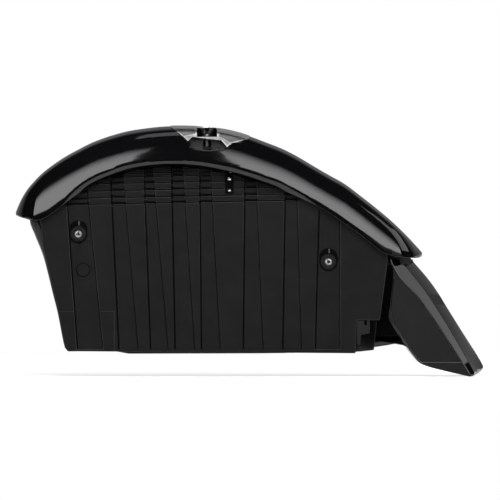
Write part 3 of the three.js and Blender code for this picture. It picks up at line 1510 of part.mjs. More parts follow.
add('inner_shell', makeInnerShell(), mattBlack);
add(
  'outer_shell',
  without(
    makeOuterShell(),
    hingeRooms('case'),
    inHingeFrame(stayScrewHoles()),
    bracketScrewHoles(),
  ),
  glossBlack,
);
add(
  'tail_closing_panel',
  prismAlongY(tailWindowOutline(clearance), tailInboardY, tailInboardY + tailPanelThickness),
  mattBlack,
);
add('rim_seal', tube(sealCurve(), sealRadius, cordSides, sealSteps), rubber);
for (const [name, station] of stations) {
  add(`${name}_hinge_case_leaf`, hingeLeaf('case', station), darkSteel);
  add(`${name}_hinge_lid_leaf`, hingeLeaf('lid', station), darkSteel);
  add(`${name}_hinge_pin`, hingePin(station), steel);
  addEach(`${name}_hinge_case_screw`, hingeScrews('case', station), steel);
  addEach(`${name}_hinge_lid_screw`, hingeScrews('lid', station), steel);
}
for (const mount of mounts) {
  add(`${mount.side}_mount_grommet`, makeGrommet(mount), rubber);
  add(`${mount.side}_mount_stud`, makeStud(mount), chrome);
  add(`${mount.side}_mount_washer`, makeWasher(mount), steel);
  add(`${mount.side}_mount_knob`, makeKnob(mount), mattBlack);
}
add('blanking_plug', makePlug(), mattBlack);
add('striker', makeStriker(), darkSteel);
add('striker_plate', strikerPlate(), darkSteel);
addEach('striker_rivet', strikerRivets(), chrome);
add('rear_bracket', makeRearBracket(), darkSteel);
addEach('rear_bracket_screw', bracketScrews(), steel);
add('stay_case_bracket', makeStayCaseBracket(), darkSteel);
addEach('stay_screw', stayScrews(), steel);

// Carried by the lid

const lidBody = without(lidForm(0), lidForm(lidWall), belowParting(0, partingGap / 2));
add('lid_skin', without(lidBody, hingeRooms('lid'), latchPrism(0)), glossBlack);
add(
  'lid_liner',
  without(
    lidForm(lidWall + clearance),
    lidForm(lidWall + clearance + linerWall),
    belowParting(linerRise, linerRise),
    latchPrism(-clearance),
    stayLidFoot(clearance),
  ),
  linerBlack,
);
add('stay_lid_bracket', makeStayLidBracket(), darkSteel);
add('stay_rivet', makeStayRivet(), steel);
add('stay_arm', makeStayArm(), steel);
add('latch_housing', makeLatchHousing(), mattBlack);
add('latch_bezel', makeBezel(), chrome);
add('left_latch_inlay', inlay(leftInlayShares), brushed);
add('right_latch_inlay', inlay(rightInlayShares), brushed);
add('latch_button', makeButton(), chrome);
add('lock_core', makeLockCore(), steel);
add(
  'button_spring',
  tube(new Coil(), springWire, cordSides, Math.round(springTurns * springTurnSteps)),
  steel,
);
add('latch_hook', makeHook(), darkSteel);
add(
  'hook_pin',
  rod('x', hookPinRadius, [buttonX - hookPinHalf, hookPivotY, hookPivotZ], 2 * hookPinHalf),
  steel,
);

export default bag;
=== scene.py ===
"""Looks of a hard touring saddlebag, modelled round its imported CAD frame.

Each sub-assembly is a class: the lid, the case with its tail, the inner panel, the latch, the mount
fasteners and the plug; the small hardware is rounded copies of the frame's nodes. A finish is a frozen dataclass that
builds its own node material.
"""

import bisect
import json
import logging
import math
from dataclasses import dataclass, field
from enum import Enum
from typing import Callable, Sequence

import bmesh
import bpy
from mathutils import Matrix, Vector

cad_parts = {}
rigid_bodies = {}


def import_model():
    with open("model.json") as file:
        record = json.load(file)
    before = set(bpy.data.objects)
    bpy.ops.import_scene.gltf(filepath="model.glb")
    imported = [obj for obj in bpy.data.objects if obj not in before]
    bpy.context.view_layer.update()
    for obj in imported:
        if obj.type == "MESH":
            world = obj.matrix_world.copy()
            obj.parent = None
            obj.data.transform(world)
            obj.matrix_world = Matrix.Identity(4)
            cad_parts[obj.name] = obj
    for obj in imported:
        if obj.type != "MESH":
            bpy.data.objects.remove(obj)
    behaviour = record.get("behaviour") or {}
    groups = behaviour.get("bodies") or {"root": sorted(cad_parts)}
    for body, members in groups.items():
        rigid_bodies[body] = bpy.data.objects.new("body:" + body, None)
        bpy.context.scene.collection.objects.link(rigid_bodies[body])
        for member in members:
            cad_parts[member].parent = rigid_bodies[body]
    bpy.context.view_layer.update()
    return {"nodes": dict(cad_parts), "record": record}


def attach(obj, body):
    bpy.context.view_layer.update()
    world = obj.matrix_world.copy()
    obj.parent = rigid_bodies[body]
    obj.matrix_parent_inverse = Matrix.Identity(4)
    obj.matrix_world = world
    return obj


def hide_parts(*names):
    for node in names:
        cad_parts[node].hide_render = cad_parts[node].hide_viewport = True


log = logging.getLogger("saddlebag")

Pair = tuple[float, float]
Point = tuple[float, float, float]
MM = 0.001


# Outline of the bag, in the frame's millimetres


def linear_at(table: Sequence[Pair], at: float) -> float:
    """Reads a table of pairs with straight lines between them.

    Args:
        table: Pairs of key and value, keys rising.
        at: Key to read.

    Returns:
        The value at the key, held level past both ends.
    """
    if at <= table[0][0]:
        return table[0][1]
    if at >= table[-1][0]:
        return table[-1][1]
    k = bisect.bisect_left([key for key, _ in table], at)
    (a, va), (b, vb) = table[k - 1], table[k]
    return va + (vb - va) * (at - a) / (b - a)


def smooth_at(table: Sequence[Pair], at: float) -> float:
    """Reads a table of pairs along a smooth curve.

    Args:
        table: Pairs of key and value, keys rising.
        at: Key to read.

    Returns:
        The value at the key, held level past both ends.
    """
    last = len(table) - 1
    at = min(max(at, table[0][0]), table[last][0])
    k = max(1, bisect.bisect_left([key for key, _ in table], at))

    def slope(i: int) -> float:
        (a, va), (b, vb) = table[max(0, i - 1)], table[min(last, i + 1)]
        return (vb - va) / (b - a)

    (a, va), (b, vb) = table[k - 1], table[k]
    span = b - a
    t = (at - a) / span
    return (
        va + (vb - va) * t * t * (3 - 2 * t)
        + slope(k - 1) * span * t * (1 - t) ** 2
        - slope(k) * span * t * t * (1 - t)
    )


@dataclass(frozen=True)
class BagForm:
    """Driving sizes and curves of the bag, the same as the frame's own."""

    length: float = 890.0
    height: float = 475.0
    depth: float = 244.0
    hinge_front: Pair = (-407.0, 295.0)
    hinge_rear: Pair = (300.0, 223.8)
    hinge_y: float = 113.0
    parting_gap: float = 3.6
    lid_proud: float = 10.0
    level_inboard_y: float = -72.0
    level_outboard_y: float = 84.0
    lid_rear_x: float = 328.4
    nose_y: float = -30.0
    nose_zone: float = 190.0
    inboard_zone: float = 60.0
    tail_y: float = 0.0
    tail_zone: float = 70.0
    corner_exponent: float = 2.4
    crease_drop: float = 10.0
    lean_lag: float = 10.0
    lean_softness: float = 0.3
    bulge_lean: float = 0.12
    ledge_step: float = 4.3
    ledges: tuple[float, ...] = (0.6884, 0.7135, 0.7413, 0.7699, 0.7945, 0.8092, 0.8242)
    crown: tuple[Pair, ...] = (
        (0, 0.655), (0.011, 0.701), (0.024, 0.742), (0.038, 0.774), (0.058, 0.812), (0.082, 0.847),
        (0.106, 0.877), (0.133, 0.905), (0.160, 0.931), (0.187, 0.951), (0.214, 0.967), (0.241, 0.980),
        (0.275, 0.990), (0.308, 0.997), (0.341, 1), (0.376, 0.999), (0.410, 0.994), (0.444, 0.987),
        (0.477, 0.973), (0.500, 0.959), (0.534, 0.935), (0.568, 0.910), (0.602, 0.878), (0.636, 0.840),
        (0.669, 0.804), (0.703, 0.768), (0.737, 0.720), (0.771, 0.670), (0.805, 0.616), (0.838, 0.556),
        (0.864, 0.504), (0.869, 0.494),
    )
    lid_edge: tuple[Pair, ...] = (
        (0, 0.648), (0.022, 0.630), (0.043, 0.621), (0.068, 0.634), (0.099, 0.6755), (0.126, 0.7137),
        (0.160, 0.756), (0.204, 0.7915), (0.241, 0.814), (0.275, 0.8265), (0.308, 0.833), (0.342, 0.834),
        (0.376, 0.831), (0.410, 0.8225), (0.4436, 0.810), (0.4775, 0.7955), (0.521, 0.771), (0.5545, 0.752),
        (0.595, 0.720), (0.6425, 0.679), (0.669, 0.6505), (0.703, 0.606), (0.737, 0.5615), (0.7716, 0.5075),
        (0.782, 0.495), (0.7985, 0.483), (0.815, 0.4766), (0.839, 0.472), (0.854, 0.478), (0.869, 0.490),
    )
    belly: tuple[Pair, ...] = (
        (-1, 0), (0.14, 0), (0.34, 0.7), (0.52, 1), (0.7, 0.8), (0.82, 0), (0.91, -1.4), (0.97, -3.4), (1, -5.6),
    )
    case_front: tuple[Pair, ...] = (
        (0.05, 0.118), (0.0917, 0.118), (0.1017, 0.1137), (0.113, 0.108), (0.149, 0.103), (0.255, 0.092),
        (0.336, 0.081), (0.417, 0.0704), (0.488, 0.0596), (0.564, 0.043), (0.621, 0.032), (0.9, 0.032),
    )
    case_front_radius: tuple[Pair, ...] = (
        (0.05, 0.005), (0.25, 0.005), (0.41, 0.012), (0.51, 0.022), (0.62, 0.029), (0.9, 0.029),
    )
    underside: tuple[Pair, ...] = (
        (0.06, 0.1), (0.131, 0.101), (0.1896, 0.1076), (0.21, 0.103), (0.243, 0.0917), (0.52, 0.093),
        (0.734, 0.0985), (0.761, 0.104), (0.801, 0.12), (0.84, 0.14),
    )
    panel_outline: tuple[Pair, ...] = (
        (0.724, 0.0935), (0.727, 0.226), (0.7757, 0.226), (0.781, 0.302), (0.792, 0.4543), (0.792, 0.9),
        (0.0556, 0.9), (0.0556, 0.62), (0.0625, 0.508), (0.0948, 0.255), (0.1085, 0.113), (0.1137, 0.1017),
    )
    recess: tuple[Pair, ...] = ((0.727, 0), (0.83, 0), (0.83, 0.226), (0.727, 0.226))
    tail_rear: tuple[Pair, ...] = (
        (0, 0.977), (0.006, 0.9866), (0.02, 0.9965), (0.0365, 1), (0.07, 0.991), (0.135, 0.969), (0.272, 0.923),
        (0.338, 0.9014), (0.3935, 0.8798), (0.46, 0.849),
    )
    tail_front: tuple[Pair, ...] = (
        (0, 0.9663), (0.0187, 0.923), (0.0365, 0.885), (0.0516, 0.8634), (0.077, 0.85), (0.135, 0.828),
        (0.2315, 0.7954), (0.282, 0.797), (0.419, 0.804), (0.46, 0.7985),
    )
    tail_crease: tuple[Pair, ...] = ((0, 0.97), (0.0087, 0.969), (0.302, 0.8662), (0.388, 0.8229), (0.46, 0.8))
    tail_shoulder: tuple[Pair, ...] = ((0, 0.975), (0.0195, 0.977), (0.3054, 0.8855), (0.46, 0.822))
    tail_facet: tuple[Pair, ...] = ((0, 0.976), (0.0195, 0.9866), (0.272, 0.923), (0.46, 0.849))

    def along(self, share: float) -> float:
        """X of a share of the length."""
        return (share - 0.5) * self.length

    def up(self, share: float) -> float:
        """Z of a share of the height."""
        return share * self.height

    @property
    def inboard_face(self) -> float:
        """Y of the lid's inboard face."""
        return -self.depth / 2

    @property
    def panel_y(self) -> float:
        """Y of the inner panel's face."""
        return self.inboard_face + self.lid_proud

    def crown_z(self, x: float) -> float:
        """Height of the crown line at X."""
        return self.up(smooth_at(self.crown, x / self.length + 0.5))

    def edge_z(self, x: float) -> float:
        """Height of the lid's lower inboard edge at X."""
        return self.up(smooth_at(self.lid_edge, x / self.length + 0.5))

    def hinge_z(self, x: float) -> float:
        """Height of the straight hinge line at X."""
        (x0, z0), (x1, z1) = self.hinge_front, self.hinge_rear
        return z0 + (x - x0) * (z1 - z0) / (x1 - x0)

    def parting_z(self, x: float, y: float, inboard_lift: float, outboard_lift: float) -> float:
        """Height of the surface between lid and case.

        Args:
            x: Place along the bag.
            y: Place across the bag.
            inboard_lift: Lift over the surface on the inboard side.
            outboard_lift: Lift over the surface on the hinge side.

        Returns:
            Z of the lifted surface.
        """
        share = (y - self.level_inboard_y) / (self.level_outboard_y - self.level_inboard_y)
        share = min(1.0, max(0.0, share))
        inboard, outboard = self.edge_z(x) + inboard_lift, self.hinge_z(x) + outboard_lift
        return inboard + (outboard - inboard) * share

    def lean(self, z: float) -> float:
        """How far the lip has stepped back with the panel at a height, with soft ends to the slope."""
        first, last = self.up(self.ledges[0]), self.up(self.ledges[-1])
        at, soft = (z - first) / (last - first), self.lean_softness

        def climbed(share: float) -> float:
            return 0.0 if share < 0 else share * share / 2 if share < 1 else share - 0.5

        return self.ledge_step * len(self.ledges) * (climbed(at + soft) - climbed(at - soft)) / (2 * soft)

    def round_at(self, distance: float, zone: float) -> float:
        """Share of the full width at a distance from a rounded end."""
        reach = min(1.0, max(0.0, 1 - distance / zone))
        return (1 - reach ** self.corner_exponent) ** (1 / self.corner_exponent)

    def lid_inboard_y(self, x: float, share: float = 1.0) -> float:
        """Y of the lid's inboard side at X, with a share of the lip's lean."""
        lip = self.inboard_face + share * self.lean(self.edge_z(x) - self.lean_lag)
        if x < 0:
            return self.nose_y + (lip - self.nose_y) * self.round_at(x - self.along(0), self.inboard_zone)
        return self.tail_y + (lip - self.tail_y) * self.round_at(self.lid_rear_x - x, self.inboard_zone)

    def lid_outboard_y(self, x: float) -> float:
        """Y of the lid's hinge side at X."""
        if x < 0:
            return self.nose_y + (self.hinge_y - self.nose_y) * self.round_at(x - self.along(0), self.nose_zone)
        return self.tail_y + (self.hinge_y - self.tail_y) * self.round_at(self.lid_rear_x - x, self.tail_zone)

    def case_outboard_y(self, x: float, z: float) -> float:
        """Y of the case's outboard side: straight by the hinge line and bellied below it."""
        bottom = self.up(0.0917)
        fall = (self.hinge_z(x) - z) / (self.hinge_z(x) - bottom)
        return self.hinge_y + 9.0 * smooth_at(self.belly, fall)

    def outline(self, shares: Sequence[Pair]) -> list[Pair]:
        """Points in X and Z of shares of the length and height."""
        return [(self.along(x), self.up(z)) for x, z in shares]

    def rear_wall(self, z: float) -> float:
        """X of the case's rear wall, square to the hinge line."""
        x = self.along(0.7848)
        (x0, z0), (x1, z1) = self.hinge_front, self.hinge_rear
        return x + (z - self.hinge_z(x)) * (z0 - z1) / (x1 - x0)

    def case_ring(self, z: float, inset: float, inboard_inset: float) -> list[Point]:
        """One level section of the case.

        Args:
            z: Height of the section.
            inset: Distance inwards from the outer face.
            inboard_inset: Distance inwards on the panel's side.

        Returns:
            Points of the section, round from the front.
        """
        share = z / self.height
        front = self.along(smooth_at(self.case_front, share)) + inset
        rear = self.rear_wall(z) - inset
        inboard = self.panel_y + inboard_inset
        radius = max(3.0, self.length * smooth_at(self.case_front_radius, share))
        depth_x, depth_y = 150.0 - inset, 95.0 - inset
        steps = 16

        def corner(step: int) -> Pair:
            angle = step / steps * math.pi / 2
            power = 2 / self.corner_exponent
            return max(0.0, math.cos(angle)) ** power, max(0.0, math.sin(angle)) ** power

        ring: list[Point] = []
        for step in range(steps + 1):
            c, s = corner(step)
            ring.append((front + radius * (1 - c), inboard + radius * (1 - s), z))
        for step in range(5):
            angle = step / 4 * math.pi / 2
            ring.append((rear - 4 * (1 - math.sin(angle)), inboard + 4 * (1 - math.cos(angle)), z))
        out = self.case_outboard_y(rear, z) - inset
        for step in range(7):
            angle = step / 6 * math.pi / 2
            ring.append((rear - 12 * (1 - math.cos(angle)), out - 12 * (1 - math.sin(angle)), z))
        for step in range(1, 24):
            x = rear - 12 + (front + depth_x - rear + 12) * step / 24
            ring.append((x, self.case_outboard_y(x, z) - inset, z))
        for step in range(steps + 1):
            c, s = corner(steps - step)
            x = front + depth_x * (1 - c)
            ring.append((x, self.case_outboard_y(x, z) - inset - depth_y * (1 - s), z))
        return ring


FORM = BagForm()


# Modelling


class Axis(Enum):
    """Axis that a turned piece is made about."""

    X = "X"
    Y = "Y"
    Z = "Z"


class Maker:
    """Modelling steps that the pieces share."""

    @staticmethod
    def fresh() -> None:
        """Leaves nothing selected, in object mode."""
        if bpy.context.object and bpy.context.object.mode != "OBJECT":
            bpy.ops.object.mode_set(mode="OBJECT")
        bpy.ops.object.select_all(action="DESELECT")

    @staticmethod
    def only(piece: bpy.types.Object) -> None:
        """Makes one piece the only selected and active one."""
        Maker.fresh()
        piece.hide_viewport = False
        piece.select_set(True)
        bpy.context.view_layer.objects.active = piece

    @staticmethod
    def named(name: str) -> bpy.types.Object:
        """Names the active piece and puts its place into its mesh."""
        piece = bpy.context.active_object
        piece.name = piece.data.name = name
        bpy.ops.object.transform_apply(location=True, rotation=True, scale=True)
        return piece

    @staticmethod
    def surface(name: str, rows: Sequence[Sequence[Point]], closed: bool, caps: bool) -> bpy.types.Object:
        """Shapes a grid to rows of points.

        Args:
            name: Name of the piece.
            rows: Rows of equal count, in millimetres.
            closed: Whether each row runs round to its first point.
            caps: Whether the first and last rows are filled.

        Returns:
            The shaped piece, with its normals outwards.
        """
        Maker.fresh()
        lines = [list(row) + ([row[0]] if closed else []) for row in rows]
        across, down = len(lines[0]) - 1, len(lines) - 1
        bpy.ops.mesh.primitive_grid_add(x_subdivisions=across, y_subdivisions=down, size=2.0)
        piece = bpy.context.active_object
        for vertex in piece.data.vertices:
            i = round((vertex.co.x + 1) / 2 * across)
            j = round((vertex.co.y + 1) / 2 * down)
            vertex.co = Vector(lines[j][i]) * MM
        Maker.named(name)
        bpy.ops.object.mode_set(mode="EDIT")
        bpy.ops.mesh.select_all(action="SELECT")
        bpy.ops.mesh.remove_doubles(threshold=1e-6)
        if caps:
            bpy.ops.mesh.select_all(action="DESELECT")
            bpy.ops.mesh.select_non_manifold()
            bpy.ops.mesh.fill_holes(sides=0)
        bpy.ops.mesh.select_all(action="SELECT")
        bpy.ops.mesh.normals_make_consistent(inside=False)
        bpy.ops.object.mode_set(mode="OBJECT")
        return piece

    @staticmethod
    def prism(name: str, outline: Sequence[Pair], y_from: float, y_to: float) -> bpy.types.Object:
        """Extrudes an outline in X and Z along Y.

        Args:
            name: Name of the piece.
            outline: Corners in millimetres.
            y_from: First Y.
            y_to: Last Y.

        Returns:
            The closed piece.
        """
        Maker.fresh()
        bpy.ops.mesh.primitive_circle_add(vertices=len(outline), radius=1.0, fill_type="NGON")
        piece = bpy.context.active_object
        for vertex, (x, z) in zip(piece.data.vertices, outline):
            vertex.co = Vector((x, y_from, z)) * MM
        Maker.named(name)
        bpy.ops.object.mode_set(mode="EDIT")
        bpy.ops.mesh.select_all(action="SELECT")
        bpy.ops.mesh.extrude_region_move(TRANSFORM_OT_translate={"value": (0, (y_to - y_from) * MM, 0)})
        bpy.ops.mesh.select_all(action="SELECT")
        bpy.ops.mesh.normals_make_consistent(inside=False)
        bpy.ops.object.mode_set(mode="OBJECT")
        return piece

    @staticmethod
    def joined(name: str, pieces: Sequence[bpy.types.Object]) -> bpy.types.Object:
        """Joins separate pieces into one object."""
        Maker.fresh()
        for piece in pieces:
            piece.select_set(True)
        bpy.context.view_layer.objects.active = pieces[0]
        bpy.ops.object.join()
        return Maker.named(name)

    @staticmethod
    def block(name: str, low: Point, high: Point) -> bpy.types.Object:
        """Adds a box between two corners, in millimetres."""
        Maker.fresh()
        middle = (Vector(low) + Vector(high)) / 2 * MM
        size = (Vector(high) - Vector(low)) * MM
        bpy.ops.mesh.primitive_cube_add(size=1.0, location=middle, scale=size)
        return Maker.named(name)

    @staticmethod
    def turned(
        name: str, profile: Sequence[Pair], axis: Axis, centre: Point, steps: int = 48
    ) -> bpy.types.Object:
        """Turns a profile about an axis, ring by ring.

        Args:
            name: Name of the piece.
            profile: Radius and distance of each ring, in millimetres; a radius of 0 closes an end.
            axis: Axis that the distance runs along.
            centre: Place of the zero distance.
            steps: Sides round the axis.

        Returns:
            The closed piece.
        """
        Maker.fresh()
        radius, distance = profile[0]
        tiny = 1e-4
        bpy.ops.mesh.primitive_circle_add(
            vertices=steps, radius=max(radius, tiny) * MM, location=(0, 0, distance * MM), fill_type="NOTHING"
        )
        piece = bpy.context.active_object
        Maker.named(name)
        bpy.ops.object.mode_set(mode="EDIT")
        bpy.ops.mesh.select_all(action="SELECT")
        for next_radius, next_distance in profile[1:]:
            grow = max(next_radius, tiny) / max(radius, tiny)
            bpy.ops.mesh.extrude_edges_move(
                TRANSFORM_OT_translate={"value": (0, 0, (next_distance - distance) * MM)}
            )
            bpy.ops.transform.resize(
                value=(grow, grow, 1), center_override=(0, 0, next_distance * MM)
            )
            radius, distance = next_radius, next_distance
        bpy.ops.mesh.select_all(action="SELECT")
        bpy.ops.mesh.remove_doubles(threshold=2e-6)
        bpy.ops.mesh.normals_make_consistent(inside=False)
        bpy.ops.object.mode_set(mode="OBJECT")
        turn = {
            Axis.X: Matrix.Rotation(math.pi / 2, 4, "Y"),
            Axis.Y: Matrix.Rotation(-math.pi / 2, 4, "X"),
            Axis.Z: Matrix.Identity(4),
        }[axis]
        piece.data.transform(Matrix.Translation(Vector(centre) * MM) @ turn)
        return piece

    @staticmethod
    def sweep(name: str, path: Sequence[Point], radius: float, closed: bool, sides: int = 3) -> bpy.types.Object:
        """Runs a round bar along a path.

        Args:
            name: Name of the piece.
            path: Points in millimetres.
            radius: Radius of the bar in millimetres.
            closed: Whether the path runs round.
            sides: Resolution of the round section.

        Returns:
            The bar as a mesh.
        """
        Maker.fresh()
        curve = bpy.data.curves.new(name, "CURVE")
        curve.dimensions = "3D"
        curve.bevel_depth = radius * MM
        curve.bevel_resolution = sides
        curve.use_fill_caps = not closed
        spline = curve.splines.new("POLY")
        spline.points.add(len(path) - 1)
        for point, place in zip(spline.points, path):
            point.co = (*(Vector(place) * MM), 1)
        spline.use_cyclic_u = closed
        piece = bpy.data.objects.new(name, curve)
        bpy.context.collection.objects.link(piece)
        Maker.only(piece)
        bpy.ops.object.convert(target="MESH")
        return bpy.context.active_object

    @staticmethod
    def apply(piece: bpy.types.Object, kind: str, **settings: object) -> bpy.types.Object:
        """Adds one modifier with its settings and applies it."""
        Maker.only(piece)
        modifier = piece.modifiers.new(kind.title(), kind)
        for key, value in settings.items():
            setattr(modifier, key, value)
        bpy.ops.object.modifier_apply(modifier=modifier.name)
        return piece

    @staticmethod
    def cut(piece: bpy.types.Object, *cutters: bpy.types.Object, keep: str = "DIFFERENCE") -> bpy.types.Object:
        """Cuts a piece with others, which are then deleted.

        Args:
            piece: The piece that stays.
            *cutters: Closed pieces to cut with.
            keep: DIFFERENCE, INTERSECT or UNION.

        Returns:
            The cut piece.
        """
        for cutter in cutters:
            Maker.apply(piece, "BOOLEAN", object=cutter, operation=keep, solver="EXACT")
            bpy.data.objects.remove(cutter, do_unlink=True)
        return piece

    @staticmethod
    def soften(
        piece: bpy.types.Object, width: float, angle: float = 35.0, segments: int = 2, slot: int = -1,
        sharp_slot: int = -1, merge: bool = True,
    ) -> bpy.types.Object:
        """Rounds the outer edges of a piece and shades it.

        Args:
            piece: The piece.
            width: Width of the rounding in millimetres.
            angle: Least angle between the faces of a rounded edge, in degrees.
            segments: Faces across the rounding.
            slot: Material slot of the rounding, or -1 to keep the faces' own.
            sharp_slot: Material slot whose faces keep their edges sharp.
            merge: Whether flat faces are merged first; a flat face with a hole in it is not.

        Returns:
            The piece.
        """
        Maker.only(piece)
        bpy.ops.object.mode_set(mode="EDIT")
        bpy.ops.mesh.select_all(action="SELECT")
        bpy.ops.mesh.remove_doubles(threshold=4e-5)
        bpy.ops.mesh.dissolve_degenerate(threshold=2e-5)
        if merge:
            bpy.ops.mesh.dissolve_limited(angle_limit=math.radians(0.3))
        bpy.ops.object.mode_set(mode="OBJECT")
        mesh = bmesh.new()
        mesh.from_mesh(piece.data)
        layer = mesh.edges.layers.float.new("bevel_weight_edge")
        for edge in mesh.edges:
            kept = any(face.material_index == sharp_slot for face in edge.link_faces)
            if not kept and edge.is_manifold and edge.is_convex and edge.calc_face_angle() > math.radians(angle):
                edge[layer] = 1.0
        mesh.to_mesh(piece.data)
        mesh.free()
        Maker.apply(
            piece, "BEVEL", width=width * MM, segments=segments, limit_method="WEIGHT",
            use_clamp_overlap=False, material=slot, miter_outer="MITER_ARC",
        )
        Maker.shaded(piece, angle)
        return Maker.apply(piece, "WEIGHTED_NORMAL", keep_sharp=True)

    @staticmethod
    def shaded(piece: bpy.types.Object, angle: float = 35.0) -> bpy.types.Object:
        """Shades a piece smooth up to an angle between faces."""
        Maker.only(piece)
        bpy.ops.object.shade_smooth_by_angle(angle=math.radians(angle))
        return piece


# Finishes


@dataclass(frozen=True)
class Finish:
    """What all finishes share: a name, the record's slot and the plain values of the surface."""

    name: str
    slot: str
    color: tuple[float, float, float]
    roughness: float
    spread: float = 0.04
    metallic: float = 0.0
    coat: float = 0.0
    specular: float = 0.5
    grain: float = 200.0
    relief: float = 0.05
    depth: float = 0.0002

    def material(self) -> bpy.types.Material:
        """Builds the node material, once.

        Returns:
            The material of this finish.
        """
        known = bpy.data.materials.get(self.name)
        if known:
            return known
        material = bpy.data.materials.new(self.name)
        material.use_nodes = True
        nodes, links = material.node_tree.nodes, material.node_tree.links
        shader = nodes["Principled BSDF"]
        shader.inputs["Base Color"].default_value = (*self.color, 1)
        shader.inputs["Metallic"].default_value = self.metallic
        shader.inputs["Coat Weight"].default_value = self.coat
        shader.inputs["Coat Roughness"].default_value = 0.03
        shader.inputs["Specular IOR Level"].default_value = self.specular
        place = nodes.new("ShaderNodeTexCoord")
        self.surface(nodes, links, shader, place.outputs["Object"])
        return material

    def noise(
        self, nodes: bpy.types.Nodes, links: bpy.types.NodeLinks, place: bpy.types.NodeSocket,
        scale: float, detail: float = 3.0, stretch: Point = (1, 1, 1),
    ) -> bpy.types.NodeSocket:
        """Adds a noise pattern.

        Args:
            nodes: Nodes of the material.
            links: Links of the material.
            place: Coordinates that the pattern reads.
            scale: Repeats per metre.
            detail: Octaves.
            stretch: Scale along each axis.

        Returns:
            The socket with the pattern's value.
        """
        mapping = nodes.new("ShaderNodeMapping")
        mapping.inputs["Scale"].default_value = stretch
        links.new(place, mapping.inputs["Vector"])
        noise = nodes.new("ShaderNodeTexNoise")
        noise.inputs["Scale"].default_value = scale
        noise.inputs["Detail"].default_value = detail
        links.new(mapping.outputs["Vector"], noise.inputs["Vector"])
        return noise.outputs["Fac"]

    def ranged(
        self, nodes: bpy.types.Nodes, links: bpy.types.NodeLinks, value: bpy.types.NodeSocket,
        low: float, high: float,
    ) -> bpy.types.NodeSocket:
        """Maps a pattern's middle values to a range and returns the socket."""
        mapped = nodes.new("ShaderNodeMapRange")
        mapped.inputs["From Min"].default_value = 0.3
        mapped.inputs["From Max"].default_value = 0.7
        mapped.inputs["To Min"].default_value = low
        mapped.inputs["To Max"].default_value = high
        links.new(value, mapped.inputs["Value"])
        return mapped.outputs["Result"]

    def bump(
        self, nodes: bpy.types.Nodes, links: bpy.types.NodeLinks, shader: bpy.types.Node,
        height: bpy.types.NodeSocket,
    ) -> None:
        """Feeds a height to the shader's normal."""
        bump = nodes.new("ShaderNodeBump")
        bump.inputs["Strength"].default_value = self.relief
        bump.inputs["Distance"].default_value = self.depth
        links.new(height, bump.inputs["Height"])
        links.new(bump.outputs["Normal"], shader.inputs["Normal"])

    def surface(
        self, nodes: bpy.types.Nodes, links: bpy.types.NodeLinks, shader: bpy.types.Node,
        place: bpy.types.NodeSocket,
    ) -> None:
        """Gives the finish its roughness, colour variation and relief."""
        rough = self.noise(nodes, links, place, self.grain / 12)
        links.new(
            self.ranged(nodes, links, rough, self.roughness - self.spread, self.roughness + self.spread),
            shader.inputs["Roughness"],
        )
        self.tint(nodes, links, shader, self.noise(nodes, links, place, self.grain / 30))
        self.bump(nodes, links, shader, self.noise(nodes, links, place, self.grain))

    def tint(
        self, nodes: bpy.types.Nodes, links: bpy.types.NodeLinks, shader: bpy.types.Node,
        value: bpy.types.NodeSocket, low: float = 0.85, high: float = 1.15,
    ) -> None:
        """Varies the base colour between two shares of itself."""
        ramp = nodes.new("ShaderNodeValToRGB")
        ramp.color_ramp.elements[0].position = 0.3
        ramp.color_ramp.elements[1].position = 0.7
        ramp.color_ramp.elements[0].color = (*(c * low for c in self.color), 1)
        ramp.color_ramp.elements[1].color = (*(min(1, c * high) for c in self.color), 1)
        links.new(value, ramp.inputs["Fac"])
        links.new(ramp.outputs["Color"], shader.inputs["Base Color"])


@dataclass(frozen=True)
class BrushedFinish(Finish):
    """Metal brushed along X: fine lines across the light."""

    def surface(
        self, nodes: bpy.types.Nodes, links: bpy.types.NodeLinks, shader: bpy.types.Node,
        place: bpy.types.NodeSocket,
    ) -> None:
        """Adds the brush lines to colour, roughness and relief."""
        lines = self.noise(nodes, links, place, self.grain, 2.0, (0.03, 1, 1))
        links.new(
            self.ranged(nodes, links, lines, self.roughness - self.spread, self.roughness + self.spread),
            shader.inputs["Roughness"],
        )
        self.tint(nodes, links, shader, lines, 0.75, 1.25)
        self.bump(nodes, links, shader, lines)


@dataclass(frozen=True)
class GrainedFinish(Finish):
    """Moulded plastic with a fine pebbled grain."""

    def surface(
        self, nodes: bpy.types.Nodes, links: bpy.types.NodeLinks, shader: bpy.types.Node,
        place: bpy.types.NodeSocket,
    ) -> None:
        """Adds pebbles, a soft cloud in the colour and a little wear in the gloss."""
        pebbles = nodes.new("ShaderNodeTexVoronoi")
        pebbles.feature = "SMOOTH_F1"
        pebbles.inputs["Scale"].default_value = self.grain
        links.new(place, pebbles.inputs["Vector"])
        cloud = self.noise(nodes, links, place, 9.0, 4.0)
        links.new(
            self.ranged(nodes, links, cloud, self.roughness - self.spread, self.roughness + self.spread),
            shader.inputs["Roughness"],
        )
        self.tint(nodes, links, shader, self.noise(nodes, links, place, 25.0, 5.0), 0.88, 1.12)
        self.bump(nodes, links, shader, pebbles.outputs["Distance"])


